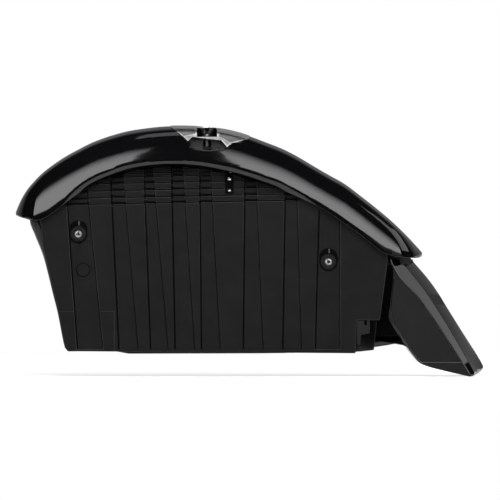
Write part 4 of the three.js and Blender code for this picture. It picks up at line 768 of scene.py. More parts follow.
GLOSS = Finish(
    "gloss_black_moulding", "gloss_black", (0.0022, 0.0022, 0.0025), 0.05, 0.01, specular=0.5, grain=90, relief=0.015,
)
MATT = GrainedFinish(
    "matt_black_moulding", "matt_black", (0.0115, 0.0115, 0.0118), 0.55, 0.06, specular=0.03, grain=1100, relief=0.2,
    depth=0.0001,
)
# A touch darker than the plain matt black, for the floors of the panel's recessed channels: a faint painted shade.
MATT_CHANNEL_SHADE = GrainedFinish(
    "matt_black_channel_shade", "matt_black", (0.0112, 0.0112, 0.0115), 0.55, 0.06, specular=0.03, grain=1100, relief=0.2,
    depth=0.0001,
)
# Lighter matt black for the inner panel's rounded edges and the pockets' ribs: a painted highlight along the edges
# where light would catch them.
MATT_EDGE_HIGHLIGHT = GrainedFinish(
    "matt_black_painted_edge_highlight", "matt_black", (0.06, 0.06, 0.061), 0.4, 0.05, specular=0.2, grain=1100, relief=0.1,
    depth=0.0001,
)
# Near-black matt for the walls of the panel's grooves, bar slots, pockets and holes, and for the striker plate:
# painted shade where these recesses lie in shadow.
MATT_RECESS_SHADE = GrainedFinish(
    "matt_black_painted_recess_shade", "matt_black", (0.0008, 0.0008, 0.0008), 0.6, 0.05, specular=0.03, grain=1100, relief=0.1,
    depth=0.0001,
)
SATIN = GrainedFinish(
    "satin_black_plate", "matt_black", (0.0105, 0.0105, 0.0108), 0.42, 0.05, specular=0.08, grain=900, relief=0.12,
    depth=0.0001,
)
# Very dark satin black for the latch housing in the finger recess, the button's post, the bands in the button's side
# and the slot in each stud tip: painted shade, and on the chrome button and post a painted dark reflection.
SHADE_BLACK = GrainedFinish(
    "satin_black_painted_shade", "matt_black", (0.0035, 0.0035, 0.004), 0.25, 0.05, specular=0.5, grain=1400,
    relief=0.1, depth=0.0001,
)
LINER = GrainedFinish(
    "black_felt_lining", "liner_black", (0.01, 0.01, 0.0105), 0.95, 0.03, specular=0.2, grain=2200, relief=0.6,
    depth=0.0003,
)
RUBBER = GrainedFinish(
    "black_rubber", "rubber", (0.005, 0.005, 0.005), 0.5, 0.06, specular=0.1, grain=1800, relief=0.12,
    depth=0.0001,
)
CHROME = Finish(
    "chrome_plate", "chrome", (0.9, 0.9, 0.91), 0.05, 0.015, metallic=1.0, grain=120, relief=0.01,
)
POLISHED = BrushedFinish(
    "polished_bright_metal", "chrome", (0.92, 0.92, 0.93), 0.3, 0.04, metallic=1.0, grain=1800, relief=0.04,
    depth=0.00005,
)
BRUSHED = BrushedFinish(
    "brushed_inlay", "brushed", (0.3, 0.3, 0.305), 0.36, 0.06, metallic=1.0, grain=2600, relief=0.2, depth=0.00005,
)
STEEL = Finish(
    "zinc_plated_steel", "steel", (0.5, 0.5, 0.49), 0.32, 0.08, metallic=1.0, grain=500, relief=0.08, depth=0.00005,
)
COATED = GrainedFinish(
    "black_coated_steel", "dark_steel", (0.009, 0.009, 0.0095), 0.42, 0.06, specular=0.12, grain=1500, relief=0.12,
    depth=0.0001,
)


def slots_of(piece: bpy.types.Object, *finishes: Finish, whole: int | None = None) -> bpy.types.Object:
    """Gives a piece its material slots, before it is cut or rounded.

    Args:
        piece: The piece.
        *finishes: Finish of each slot.
        whole: Slot that all its faces take, if any.

    Returns:
        The piece.
    """
    piece.data.materials.clear()
    for finish in finishes:
        piece.data.materials.append(finish.material())
    if whole is not None:
        for polygon in piece.data.polygons:
            polygon.material_index = whole
    return piece


def finished(
    piece: bpy.types.Object, finish: Finish, body: str, nodes: Sequence[str] = (), angle: float | None = None
) -> bpy.types.Object:
    """Gives a piece its finish, its body and the nodes it stands for.

    Args:
        piece: The modelled piece.
        finish: Its finish, kept off a piece that has its slots already.
        body: Name of the body it rides on.
        nodes: Names of the frame's nodes that it replaces.
        angle: Angle that it is shaded smooth up to, if it isn't shaded yet.

    Returns:
        The piece.
    """
    if angle is not None:
        Maker.shaded(piece, angle)
    if len(piece.data.materials) < 2:
        slots_of(piece, finish)
    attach(piece, body)
    if nodes:
        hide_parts(*nodes)
    log.info("%s: %d faces on %s, for %s", piece.name, len(piece.data.polygons), body, ", ".join(nodes) or "no node")
    return piece


def refined(node: str, frame: dict, finish: Finish, width: float, body: str) -> bpy.types.Object:
    """Copies a frame node, merges and rounds its edges, and lets the copy stand for it.

    Args:
        node: Name of the node.
        frame: The loaded frame.
        finish: Finish of the copy.
        width: Rounding in millimetres.
        body: Body that the node rides on.

    Returns:
        The rounded copy.
    """
    source = frame["nodes"][node]
    piece = bpy.data.objects.new(f"{node}_looks", source.data.copy())
    bpy.context.collection.objects.link(piece)
    Maker.only(piece)
    bpy.ops.object.mode_set(mode="EDIT")
    bpy.ops.mesh.select_all(action="SELECT")
    bpy.ops.mesh.remove_doubles(threshold=2e-6)
    bpy.ops.mesh.dissolve_limited(angle_limit=math.radians(0.6))
    bpy.ops.object.mode_set(mode="OBJECT")
    Maker.soften(piece, width, 30.0)
    return finished(piece, finish, body, [node])


# Lid


@dataclass
class Lid:
    """Arched gloss lid: one moulded skin with a bead along its lower edge."""

    wall: float = 3.2
    stations: int = 150
    profile_points: int = 76
    lip_roll: tuple[Pair, ...] = ((0, 0), (0.4, 0.04), (0.82, 0.07), (1, 0.14))
    face_pull: tuple[Pair, ...] = ((0.004, 0.35), (0.028, 0.7))
    crown_turn: tuple[Pair, ...] = ((0.075, 0), (0.15, 0.55), (0.25, 0.9), (0.36, 1))
    fall: tuple[Pair, ...] = ((0.52, 0.025), (0.7, 0.11), (0.84, 0.26), (0.935, 0.46), (0.982, 0.67), (1, 0.86))

    def controls(self, x: float) -> list[Pair]:
        """Control points of one section across Y and Z, carried down past the parting at both sides."""
        lip, inboard = FORM.lid_inboard_y(x), FORM.lid_inboard_y(x, FORM.bulge_lean)
        outboard = FORM.lid_outboard_y(x)
        depth = outboard - inboard
        top = FORM.crown_z(x)
        foot = min(FORM.edge_z(x), top - FORM.crease_drop / 2)
        crease = min(FORM.crease_drop, (top - foot) / 2)
        face = top - crease - foot
        drop = max(crease, top - FORM.hinge_z(x))
        below = min(foot, FORM.hinge_z(x)) - 40
        points = [(lip, below)]
        points += [(lip + (inboard - lip) * pull, foot + z * face) for pull, z in self.lip_roll]
        points += [(inboard + y * depth, foot + z * face) for y, z in self.face_pull]
        points += [(inboard + y * depth, top - crease + z * crease) for y, z in self.crown_turn]
        points += [(inboard + y * depth, top - z * drop) for y, z in self.fall]
        return points + [(outboard, below)]

    def section(self, x: float) -> list[Point]:
        """Smooth section at X from edge to edge, at even steps of its length."""
        controls = self.controls(x)
        last = len(controls) - 1
        fine: list[Pair] = []
        for k in range(last):
            around = [controls[min(last, max(0, k + step))] for step in (-1, 0, 1, 2)]
            fine += [self.curve_point(*around, step / 16) for step in range(16)]
        fine.append(controls[-1])
        kept = self.above_parting(x, fine)
        reach = [0.0]
        for a, b in zip(kept, kept[1:]):
            reach.append(reach[-1] + math.hypot(b[0] - a[0], b[1] - a[1]))
        even: list[Point] = []
        for step in range(self.profile_points + 1):
            target = reach[-1] * step / self.profile_points
            k = min(len(kept) - 2, max(0, bisect.bisect_left(reach, target) - 1))
            span = reach[k + 1] - reach[k]
            t = (target - reach[k]) / span if span > 1e-9 else 0.0
            (y0, z0), (y1, z1) = kept[k], kept[k + 1]
            even.append((x, y0 + (y1 - y0) * t, z0 + (z1 - z0) * t))
        return even

    @staticmethod
    def above_parting(x: float, fine: Sequence[Pair]) -> list[Pair]:
        """Keeps the part of a section above the parting surface, with its ends on it."""
        over = [z - FORM.parting_z(x, y, 0, FORM.parting_gap / 2) for y, z in fine]
        inside = [k for k, height in enumerate(over) if height > 0]
        if not inside:
            y, z = max(fine, key=lambda point: point[1])
            return [(y - 0.01, z), (y, z), (y + 0.01, z)]

        def crossing(k: int, m: int) -> Pair:
            t = over[k] / (over[k] - over[m])
            return fine[k][0] + (fine[m][0] - fine[k][0]) * t, fine[k][1] + (fine[m][1] - fine[k][1]) * t

        first, final = inside[0], inside[-1]
        kept = list(fine[first:final + 1])
        if first > 0:
            kept.insert(0, crossing(first, first - 1))
        if final < len(fine) - 1:
            kept.append(crossing(final, final + 1))
        return kept

    @staticmethod
    def curve_point(p0: Pair, p1: Pair, p2: Pair, p3: Pair, t: float) -> Pair:
        """Point on the centripetal curve between two control points."""

        def knot(a: Pair, b: Pair) -> float:
            return max(1e-6, math.hypot(b[0] - a[0], b[1] - a[1]) ** 0.5)

        t1 = knot(p0, p1)
        t2 = t1 + knot(p1, p2)
        t3 = t2 + knot(p2, p3)
        at = t1 + (t2 - t1) * t

        def mix(a: Pair, b: Pair, ta: float, tb: float) -> Pair:
            share = (at - ta) / (tb - ta)
            return (a[0] + (b[0] - a[0]) * share, a[1] + (b[1] - a[1]) * share)

        a1, a2, a3 = mix(p0, p1, 0, t1), mix(p1, p2, t1, t2), mix(p2, p3, t2, t3)
        b1, b2 = mix(a1, a2, 0, t2), mix(a2, a3, t1, t3)
        return mix(b1, b2, t1, t2)

    def places(self) -> list[float]:
        """X of each section, closer together at both rounded ends."""
        low, high = FORM.along(0), FORM.lid_rear_x
        return [
            low + (high - low) * (1 - math.cos(math.pi * k / self.stations)) / 2 for k in range(self.stations + 1)
        ]

    def skin(self) -> bpy.types.Object:
        """Shapes the skin's outer face from all sections."""
        return Maker.surface("lid_skin_moulding", [self.section(x) for x in self.places()], False, False)

    def plate(self, name: str, top: float, foot: float, outline: Sequence[Pair], back: float) -> bpy.types.Object:
        """A piece of the lid's own surface with a thickness, inside an outline.

        Args:
            name: Name of the piece.
            top: Height of its face over the lid.
            foot: Height of its back over the lid.
            outline: Outline in X and Z.
            back: Y that the piece ends at.

        Returns:
            The closed piece.
        """
        low, high = min(x for x, _ in outline) - 6, max(x for x, _ in outline) + 6
        count = max(8, round((high - low) / 2))
        rows = [self.section(low + (high - low) * k / count)[4:52] for k in range(count + 1)]
        piece = Maker.surface(name, rows, False, False)
        thickness = top - foot
        Maker.apply(
            piece, "SOLIDIFY", thickness=thickness * MM, offset=(top + foot) / thickness, use_quality_normals=True,
        )
        return Maker.cut(piece, Maker.prism("outline", outline, FORM.inboard_face - 30, back), keep="INTERSECT")

    def build(self, latch_outline: Sequence[Pair], latch_back: float) -> None:
        """Builds the skin, cuts the latch and the hinge rooms out of it and rounds its edges."""
        skin = self.skin()
        Maker.apply(skin, "SOLIDIFY", thickness=self.wall * MM, offset=-1.0, use_quality_normals=True)
        Maker.cut(skin, Maker.prism("latch_cutter", latch_outline, FORM.inboard_face - 30, latch_back))
        for station in HINGES:
            Maker.cut(skin, hinge_room(station))
        Maker.soften(skin, 0.8, 55.0, 2)
        finished(skin, GLOSS, "lid", ["lid_skin"])


# Case and tail


@dataclass
class CaseShell:
    """Gloss outer shell of the case: closed forms cut to one moulding."""

    wall: float = 3.2
    flange: float = 7.5
    levels: int = 46

    def form(self, name: str, inset: float, inboard_inset: float, low: float) -> bpy.types.Object:
        """Closed form through the level sections, moved inwards."""
        high = FORM.up(0.9)
        rows = [
            FORM.case_ring(low + (high - low) * k / self.levels, inset, inboard_inset)
            for k in range(self.levels + 1)
        ]
        return Maker.surface(name, rows, True, True)

    @staticmethod
    def above_parting(name: str) -> bpy.types.Object:
        """Closed space over the case's rim."""
        rows: list[list[Point]] = []
        low, high, count = FORM.along(0) - 30, FORM.along(1) + 30, 120
        for k in range(count + 1):
            x = low + (high - low) * k / count
            inboard, outboard = FORM.edge_z(x) + 8, FORM.hinge_z(x) - FORM.parting_gap / 2
            rows.append([
                (x, -160, inboard), (x, FORM.level_inboard_y, inboard), (x, FORM.level_outboard_y, outboard),
                (x, 160, outboard), (x, 160, 700), (x, -160, 700),
            ])
        return Maker.surface(name, rows, True, True)

    @staticmethod
    def below(name: str, lift: float) -> bpy.types.Object:
        """Closed space under the case's underside, lifted by a distance."""
        edge = [(x, z + lift) for x, z in FORM.outline(FORM.underside)]
        points = [(edge[0][0] - 40, -60), (edge[-1][0] + 60, -60), (edge[-1][0] + 60, edge[-1][1])]
        return Maker.prism(name, points + edge[::-1] + [(edge[0][0] - 40, edge[0][1])], -160, 160)

    def build(self) -> None:
        """Builds the shell, cuts its seat and window for the panel, and rounds its edges."""
        shell = self.form("case_moulding", 0, 0, FORM.up(0.06))
        hollow = self.form("hollow", self.wall, self.flange, FORM.up(0.06))
        Maker.cut(hollow, self.below("hollow_floor", self.wall))
        Maker.cut(hollow, Maker.prism("hollow_recess", grown(FORM.outline(FORM.recess), self.wall), -160, -62.8))
        Maker.cut(shell, self.below("floor", 0))
        Maker.cut(shell, Maker.prism("recess", FORM.outline(FORM.recess), -160, -66))
        Maker.cut(shell, hollow)
        outline = FORM.outline(FORM.panel_outline)
        Maker.cut(shell, Maker.prism("seat", grown(outline, 0.5), -160, FORM.panel_y + 4.3))
        first = FORM.up(FORM.ledges[0])
        head = [(x, max(z, first)) for x, z in grown(outline, 0.5)]
        Maker.cut(shell, Maker.prism("head", [head[k] for k in (4, 5, 6, 8)], -160, FORM.panel_y + 38))
        Maker.cut(shell, Maker.prism("window", grown(outline[:-1], -12), -160, FORM.panel_y + 22))
        Maker.cut(shell, self.above_parting("over_rim"))
        for station in HINGES:
            Maker.cut(shell, hinge_room(station))
        Maker.soften(shell, 0.9, 40.0, 2)
        finished(shell, GLOSS, "case", ["outer_shell"])


@dataclass
class Tail:
    """Long faceted tail of the outer shell, and its closing panel's pocket."""

    inboard_y: float = -100.0
    shoulder_depth: float = 12.0
    facet_y: float = -44.0
    ridge_y: float = -6.0
    outboard_y: float = 52.0
    join_x: float = 236.0
    join_y: float = -46.0
    top_share: float = 0.4672
    levels: int = 70

    def ring(self, share: float) -> list[Point]:
        """One level section of the tail at a share of the height."""
        z = FORM.up(share)
        front = FORM.along(smooth_at(FORM.tail_front, share))
        crease = max(front + 1.5, FORM.along(smooth_at(FORM.tail_crease, share)))
        shoulder = max(crease + 1.5, FORM.along(smooth_at(FORM.tail_shoulder, share)))
        rear = FORM.along(smooth_at(FORM.tail_rear, share))
        facet = max(shoulder + 1, min(rear - 1, FORM.along(smooth_at(FORM.tail_facet, share))))
        rear = max(rear, facet + 1)
        rise = min(1.0, max(0.0, (share - 0.118) / 0.03))
        join = front + (self.join_x - front) * rise * rise * (3 - 2 * rise)
        out = min(122.0, FORM.case_outboard_y(self.join_x, max(z, FORM.up(0.16)))) - 0.4
        taper = min(1.0, share / 0.3)
        width = 0.45 + 0.55 * taper * taper * (3 - 2 * taper)
        out_front = self.outboard_y + (out - self.outboard_y) * width
        corners = [
            (rear, self.ridge_y), (rear - (rear - front) * 0.12, self.outboard_y),
            ((front + rear) / 2, self.outboard_y + (out_front - self.outboard_y) * 0.72), (join, out_front),
        ]
        curve: list[Pair] = []
        for k in range(3):
            around = [corners[min(3, max(0, k + step))] for step in (-1, 0, 1, 2)]
            curve += [Lid.curve_point(*around, step / 7) for step in range(7)]
        inner = [
            (front, self.inboard_y), (crease, self.inboard_y), (shoulder, self.inboard_y + self.shoulder_depth),
            (facet, self.facet_y),
        ]
        back = [corners[3], (join, self.join_y), (front + 0.05, self.join_y)]
        return [(x, y, z) for x, y in inner + curve + back]

    def window(self, shrink: float) -> list[Pair]:
        """Outline of the opening in the tail's inboard side."""
        levels = [0.0516, 0.077, 0.135, 0.2, 0.272, 0.34, 0.4]
        front = [(FORM.along(linear_at(FORM.tail_front, share)), FORM.up(share)) for share in levels]
        rear = [(FORM.along(linear_at(FORM.tail_crease, share)), FORM.up(share)) for share in levels]
        return grown(rear + front[::-1], -3.2 - shrink)

    def build(self) -> None:
        """Builds the tail and cuts the pocket of its closing panel."""
        rows = [self.ring(self.top_share * (k / self.levels) ** 1.35) for k in range(self.levels + 1)]
        tail = slots_of(Maker.surface("tail_moulding", rows, True, True), GLOSS, SATIN)
        Maker.cut(tail, Maker.prism("pocket", self.window(0), -160, self.inboard_y + 3.4))
        Maker.cut(tail, CaseShell.above_parting("over_tail"))
        Maker.soften(tail, 1.1, 22.0, 3, merge=False)
        for polygon in tail.data.polygons:
            if polygon.normal.y < -0.985 and polygon.center.y < (self.inboard_y + 0.5) * MM:
                polygon.material_index = 1
        finished(tail, GLOSS, "case", ["outer_shell"])
        plate = Maker.prism("tail_closing_plate", self.window(0.35), self.inboard_y, self.inboard_y + 3)
        Maker.soften(plate, 0.25, 50.0)
        finished(plate, SATIN, "case", ["tail_closing_panel"])
        self.fairing()

    def fairing(self) -> None:
        """Builds the shell's low rear part, which runs from the case's foot to the tail."""
        foot = [(226, 53.2), (236, 54.6), (262, 58.6), (296, 65.0), (296, 80), (226, 80)]
        piece = Maker.prism("lower_rear_fairing", foot, self.join_y, 96)
        Maker.soften(piece, 5.0, 40.0, 4)
        finished(piece, GLOSS, "case", ["outer_shell"])
        edge = self.top_share * FORM.height - 1.5
        rim = Maker.block("tail_rim", (250, -90.5, edge - 8), (305, -86.5, edge + 11))
        Maker.soften(rim, 0.8, 40.0)
        finished(rim, GLOSS, "case", ["outer_shell"])


def grown(outline: Sequence[Pair], distance: float) -> list[Pair]:
    """Moves a counter-clockwise outline outwards by a distance on every side."""
    points: list[Pair] = []
    count = len(outline)
    for k, (x, z) in enumerate(outline):
        (xa, za), (xb, zb) = outline[k - 1], outline[(k + 1) % count]
        edge_in = Vector((x - xa, z - za)).normalized()
        edge_out = Vector((xb - x, zb - z)).normalized()
        normal_in, normal_out = Vector((edge_in.y, -edge_in.x)), Vector((edge_out.y, -edge_out.x))
        reach = distance / max(0.35, 1 + normal_in.dot(normal_out))
        moved = (normal_in + normal_out) * reach
        points.append((x + moved.x, z + moved.y))
    return points


# Inner panel


@dataclass(frozen=True)
class Channel:
    """Upright channel: its sides at the head and foot, and how many ledges have a bar in it, a slot darkened with
    painted shade.
    """

    head: Pair
    foot: Pair
    bars: int


@dataclass
class InnerPanel:
    """Matt ribbed panel: a stepped plate with channels, grooves, bars, pockets and holes, their walls darkened with
    painted shade and their rounded edges lightened with a painted highlight.
    """

    thickness: float = 4.0
    channel_depth: float = 1.5
    groove_depth: float = 3.5
    left_groove: float = 3.0
    right_groove: float = 1.6
    ledge_groove: float = 2.5
    bar_height: float = 5.1
    bar_depth: float = 2.0
    tilt: float = 1.2
    pivot_share: float = 0.3
    foot_share: float = 0.1095
    head_share: float = 0.905
    last_drop: float = 13.0
    rim_overlap: float = 8.0
    pocket_radius: float = 17.5
    pocket_lift: float = 8.5
    pocket_depth: float = 2.4
    step_z: float = 123.4
    channels: tuple[Channel, ...] = (
        Channel((0.1107, 0.159), (0.1325, 0.1894), 1), Channel((0.2059, 0.2375), (0.2205, 0.2638), 7),
        Channel((0.2763, 0.3017), (0.2877, 0.3276), 7), Channel((0.3338, 0.3641), (0.3399, 0.384), 7),
        Channel((0.3929, 0.4218), (0.3957, 0.4381), 4), Channel((0.4875, 0.5168), (0.4845, 0.5293), 3),
        Channel((0.5732, 0.6018), (0.5683, 0.6105), 1), Channel((0.6459, 0.6915), (0.6372, 0.6923), 0),
    )

    def leaned(self, name: str, outline: Sequence[Pair]) -> bpy.types.Object:
        """Runs a Y and Z outline along the bag, tilted like the ledges."""
        low, high = FORM.along(0) - 20, FORM.along(1) + 20
        piece = Maker.surface(name, [[(x, y, z) for y, z in outline] for x in (low, high)], True, True)
        pivot = Vector((FORM.along(self.pivot_share), 0, FORM.up(FORM.ledges[0]))) * MM
        tilt = Matrix.Rotation(-math.radians(self.tilt), 4, "Y")
        piece.data.transform(Matrix.Translation(pivot) @ tilt @ Matrix.Translation(-pivot))
        return piece

    def stairs(self, offset: float) -> list[Pair]:
        """Y and Z of the stepped face, at a depth below it."""
        face = FORM.panel_y + offset
        points: list[Pair] = [(face, 0)]
        for k, share in enumerate(FORM.ledges):
            z = FORM.up(share) - offset
            points += [(face + FORM.ledge_step * k, z), (face + FORM.ledge_step * (k + 1), z)]
        return points + [(face + FORM.ledge_step * len(FORM.ledges), FORM.height)]

    def skin(self, name: str, top: float, foot: float) -> bpy.types.Object:
        """Stepped layer between two depths below the face."""
        return self.leaned(name, self.stairs(top) + self.stairs(foot)[::-1])

    def edges(self, channel: Channel, z: float) -> Pair:
        """X of both sides of a channel at a height."""
        foot, head = FORM.up(self.foot_share), FORM.up(FORM.ledges[0])
        share = (z - foot) / (head - foot)
        left, right = (
            FORM.along(channel.foot[side] + (channel.head[side] - channel.foot[side]) * share) for side in (0, 1)
        )
        return left, right

    def strips(self, name: str, inset_left: float, inset_right: float, depth: float) -> bpy.types.Object:
        """Cutter for a share of every channel's width, to a depth.

        Args:
            name: Name of the cutter.
            inset_left: Distance in from the left side, or below 0 a width kept at the right side.
            inset_right: Distance in from the right side, or below 0 a width kept at the left side.
            depth: Depth below the stepped face.

        Returns:
            The cutter.
        """
        prisms = []
        for channel in self.channels:
            foot = FORM.up(self.foot_share)
            head = FORM.up(FORM.ledges[0]) - self.last_drop if channel.bars == 0 else FORM.up(self.head_share)
            corners: list[Pair] = []
            for z in (foot, head):
                left, right = self.edges(channel, z)
                low = right + inset_left if inset_left < 0 else left + inset_left
                high = left - inset_right if inset_right < 0 else right - inset_right
                corners += [(low, z), (high, z)]
            a, b, c, d = corners
            prisms.append(Maker.prism("strip", [a, b, d, c], FORM.inboard_face - 20, 122))
        strips = Maker.joined(name, prisms)
        return Maker.cut(strips, self.skin("layer", -20, depth), keep="INTERSECT")

    def bars(self) -> bpy.types.Object:
        """Cutter for the bars above the ledges inside the channels: slots whose walls are darkened with painted
        shade.
        """
        blocks = []
        for channel in self.channels:
            for k in range(channel.bars):
                left, right = self.edges(channel, FORM.up(FORM.ledges[k]))
                z = FORM.up(FORM.ledges[k]) + self.rise((left + right) / 2)
                back = FORM.panel_y + FORM.ledge_step * (k + 1) + self.channel_depth + self.bar_depth
                blocks.append(Maker.block(
                    "bar", (left + 0.6, FORM.inboard_face - 20, z + 0.4), (right - 0.6, back, z + self.bar_height),
                ))
        return Maker.joined("bars", blocks)

    def rise(self, x: float) -> float:
        """Rise of the ledges at X over their pivot."""
        return (x - FORM.along(self.pivot_share)) * math.tan(math.radians(self.tilt))

    def ledge_slot(self, k: int) -> bpy.types.Object:
        """Cutter for the groove on top of one ledge, whose walls are darkened with painted shade."""
        z = FORM.up(FORM.ledges[k])
        face = FORM.panel_y + FORM.ledge_step * (k + 1)
        return self.leaned("ledge_slot", [
            (face - FORM.ledge_step + 0.8, z - 0.9), (face + 2.4, z - 0.9), (face + 2.4, z + self.ledge_groove),
            (face - FORM.ledge_step + 0.8, z + self.ledge_groove),
        ])

    def pocket(self, mount: "MountFastener") -> list[bpy.types.Object]:
        """Cutters of one fastener's arch-topped pocket."""
        floor = FORM.panel_y + self.pocket_depth
        pieces = [
            Maker.turned(
                "pocket", [(0, -20), (self.pocket_radius, -20), (self.pocket_radius, 0), (0, 0)], Axis.Y,
                (mount.x, floor, mount.z + lift), 72,
            )
            for lift in (0, self.pocket_lift)
        ]
        if mount.side == "rear":
            z = mount.z + self.pocket_lift
            pieces.append(Maker.block("wing", (mount.x - 21.5, floor - 20, z - 5), (mount.x + 21.5, floor, z)))
        return pieces

    def build(self, mounts: Sequence["MountFastener"], plug: "Plug") -> None:
        """Builds the panel and all its cuts, then rounds its outer edges."""
        slots = (MATT, MATT_EDGE_HIGHLIGHT, MATT_RECESS_SHADE, MATT_CHANNEL_SHADE)
        outline = FORM.outline(FORM.panel_outline)
        panel = slots_of(self.skin("inner_panel_moulding", 0, self.thickness), *slots)

        def carve(cutter: bpy.types.Object, slot: int, keep: str = "DIFFERENCE") -> None:
            Maker.cut(panel, slots_of(cutter, *slots, whole=slot), keep=keep)

        carve(Maker.prism("outline", outline, FORM.inboard_face - 20, 122), 0, "INTERSECT")
        carve(CaseShell.above_parting("over_rim"), 0)
        low = [(x, min(z, self.step_z)) for x, z in ((FORM.along(0), 0), (FORM.along(0.212), 0))]
        carve(Maker.block(
            "foot_step", (low[0][0], FORM.inboard_face - 20, 0), (low[1][0], FORM.panel_y + 0.6, self.step_z),
        ), 0)
        carve(self.strips("channels", 0, 0, self.channel_depth), 3)
        # Slot 2 is the near-black matt: the walls that these grooves, slots, pockets and holes leave are darkened
        # with painted shade.
        carve(self.strips("left_grooves", 0, -self.left_groove, self.groove_depth), 2)
        carve(self.strips("right_grooves", -self.right_groove, 0, self.groove_depth - 0.6), 2)
        for k in range(len(FORM.ledges)):
            carve(self.ledge_slot(k), 2)
        carve(self.bars(), 2)
        for mount in mounts:
            for cutter in self.pocket(mount):
                carve(cutter, 2)
            carve(Maker.turned(
                "neck", [(0, -20), (11.3, -20), (11.3, 20), (0, 20)], Axis.Y, (mount.x, FORM.panel_y, mount.z), 64,
            ), 2)
            carve(Maker.turned(
                "witness", [(0, -20), (1.7, -20), (1.7, 2.4), (0, 2.4)], Axis.Y,
                (mount.x + 1.6, FORM.panel_y, mount.z - 17), 24,
            ), 2)
        for radius, depth in ((13.6, 2.4), (8.3, 20)):
            carve(Maker.turned(
                "plug_seat", [(0, -20), (radius, -20), (radius, depth), (0, depth)], Axis.Y,
                (plug.x, FORM.panel_y, plug.z), 72,
            ), 2)
        # Every rounded edge of the panel takes slot 1, the lighter matt black: a painted highlight. The channel
        # floors in slot 3 keep their edges sharp.
        Maker.soften(panel, 0.42, 40.0, 2, 1, 3)
        finished(panel, MATT, "case", ["inner_shell"])
        for mount in mounts:
            rib = Maker.block(
                f"{mount.side}_pocket_rib", (mount.x + 0.2, FORM.panel_y + 0.5, mount.z + 16.5),
                (mount.x + 2.6, FORM.panel_y + self.pocket_depth, mount.z + 24.5),
            )
            Maker.soften(rib, 0.3, 50.0)
            # The rib takes the lighter matt black: a painted highlight.
            finished(rib, MATT_EDGE_HIGHLIGHT, "case", ["inner_shell"])


# Hinges

HINGES = (-215.0, 105.0)


def hinge_room(station: float) -> bpy.types.Object:
    """Room for one hinge's knuckles in both walls, in line with the hinge."""
    (x0, z0), (x1, z1) = FORM.hinge_front, FORM.hinge_rear
    tilt = math.atan((z0 - z1) / (x1 - x0))
    room = Maker.block("hinge_room", (station - 32, -5.2, -5.2), (station + 32, 20, 5.2))
    place = Matrix.Translation(Vector((0, FORM.hinge_y, FORM.hinge_z(0))) * MM)
    room.data.transform(place @ Matrix.Rotation(tilt, 4, "Y"))
    return room


# Latch


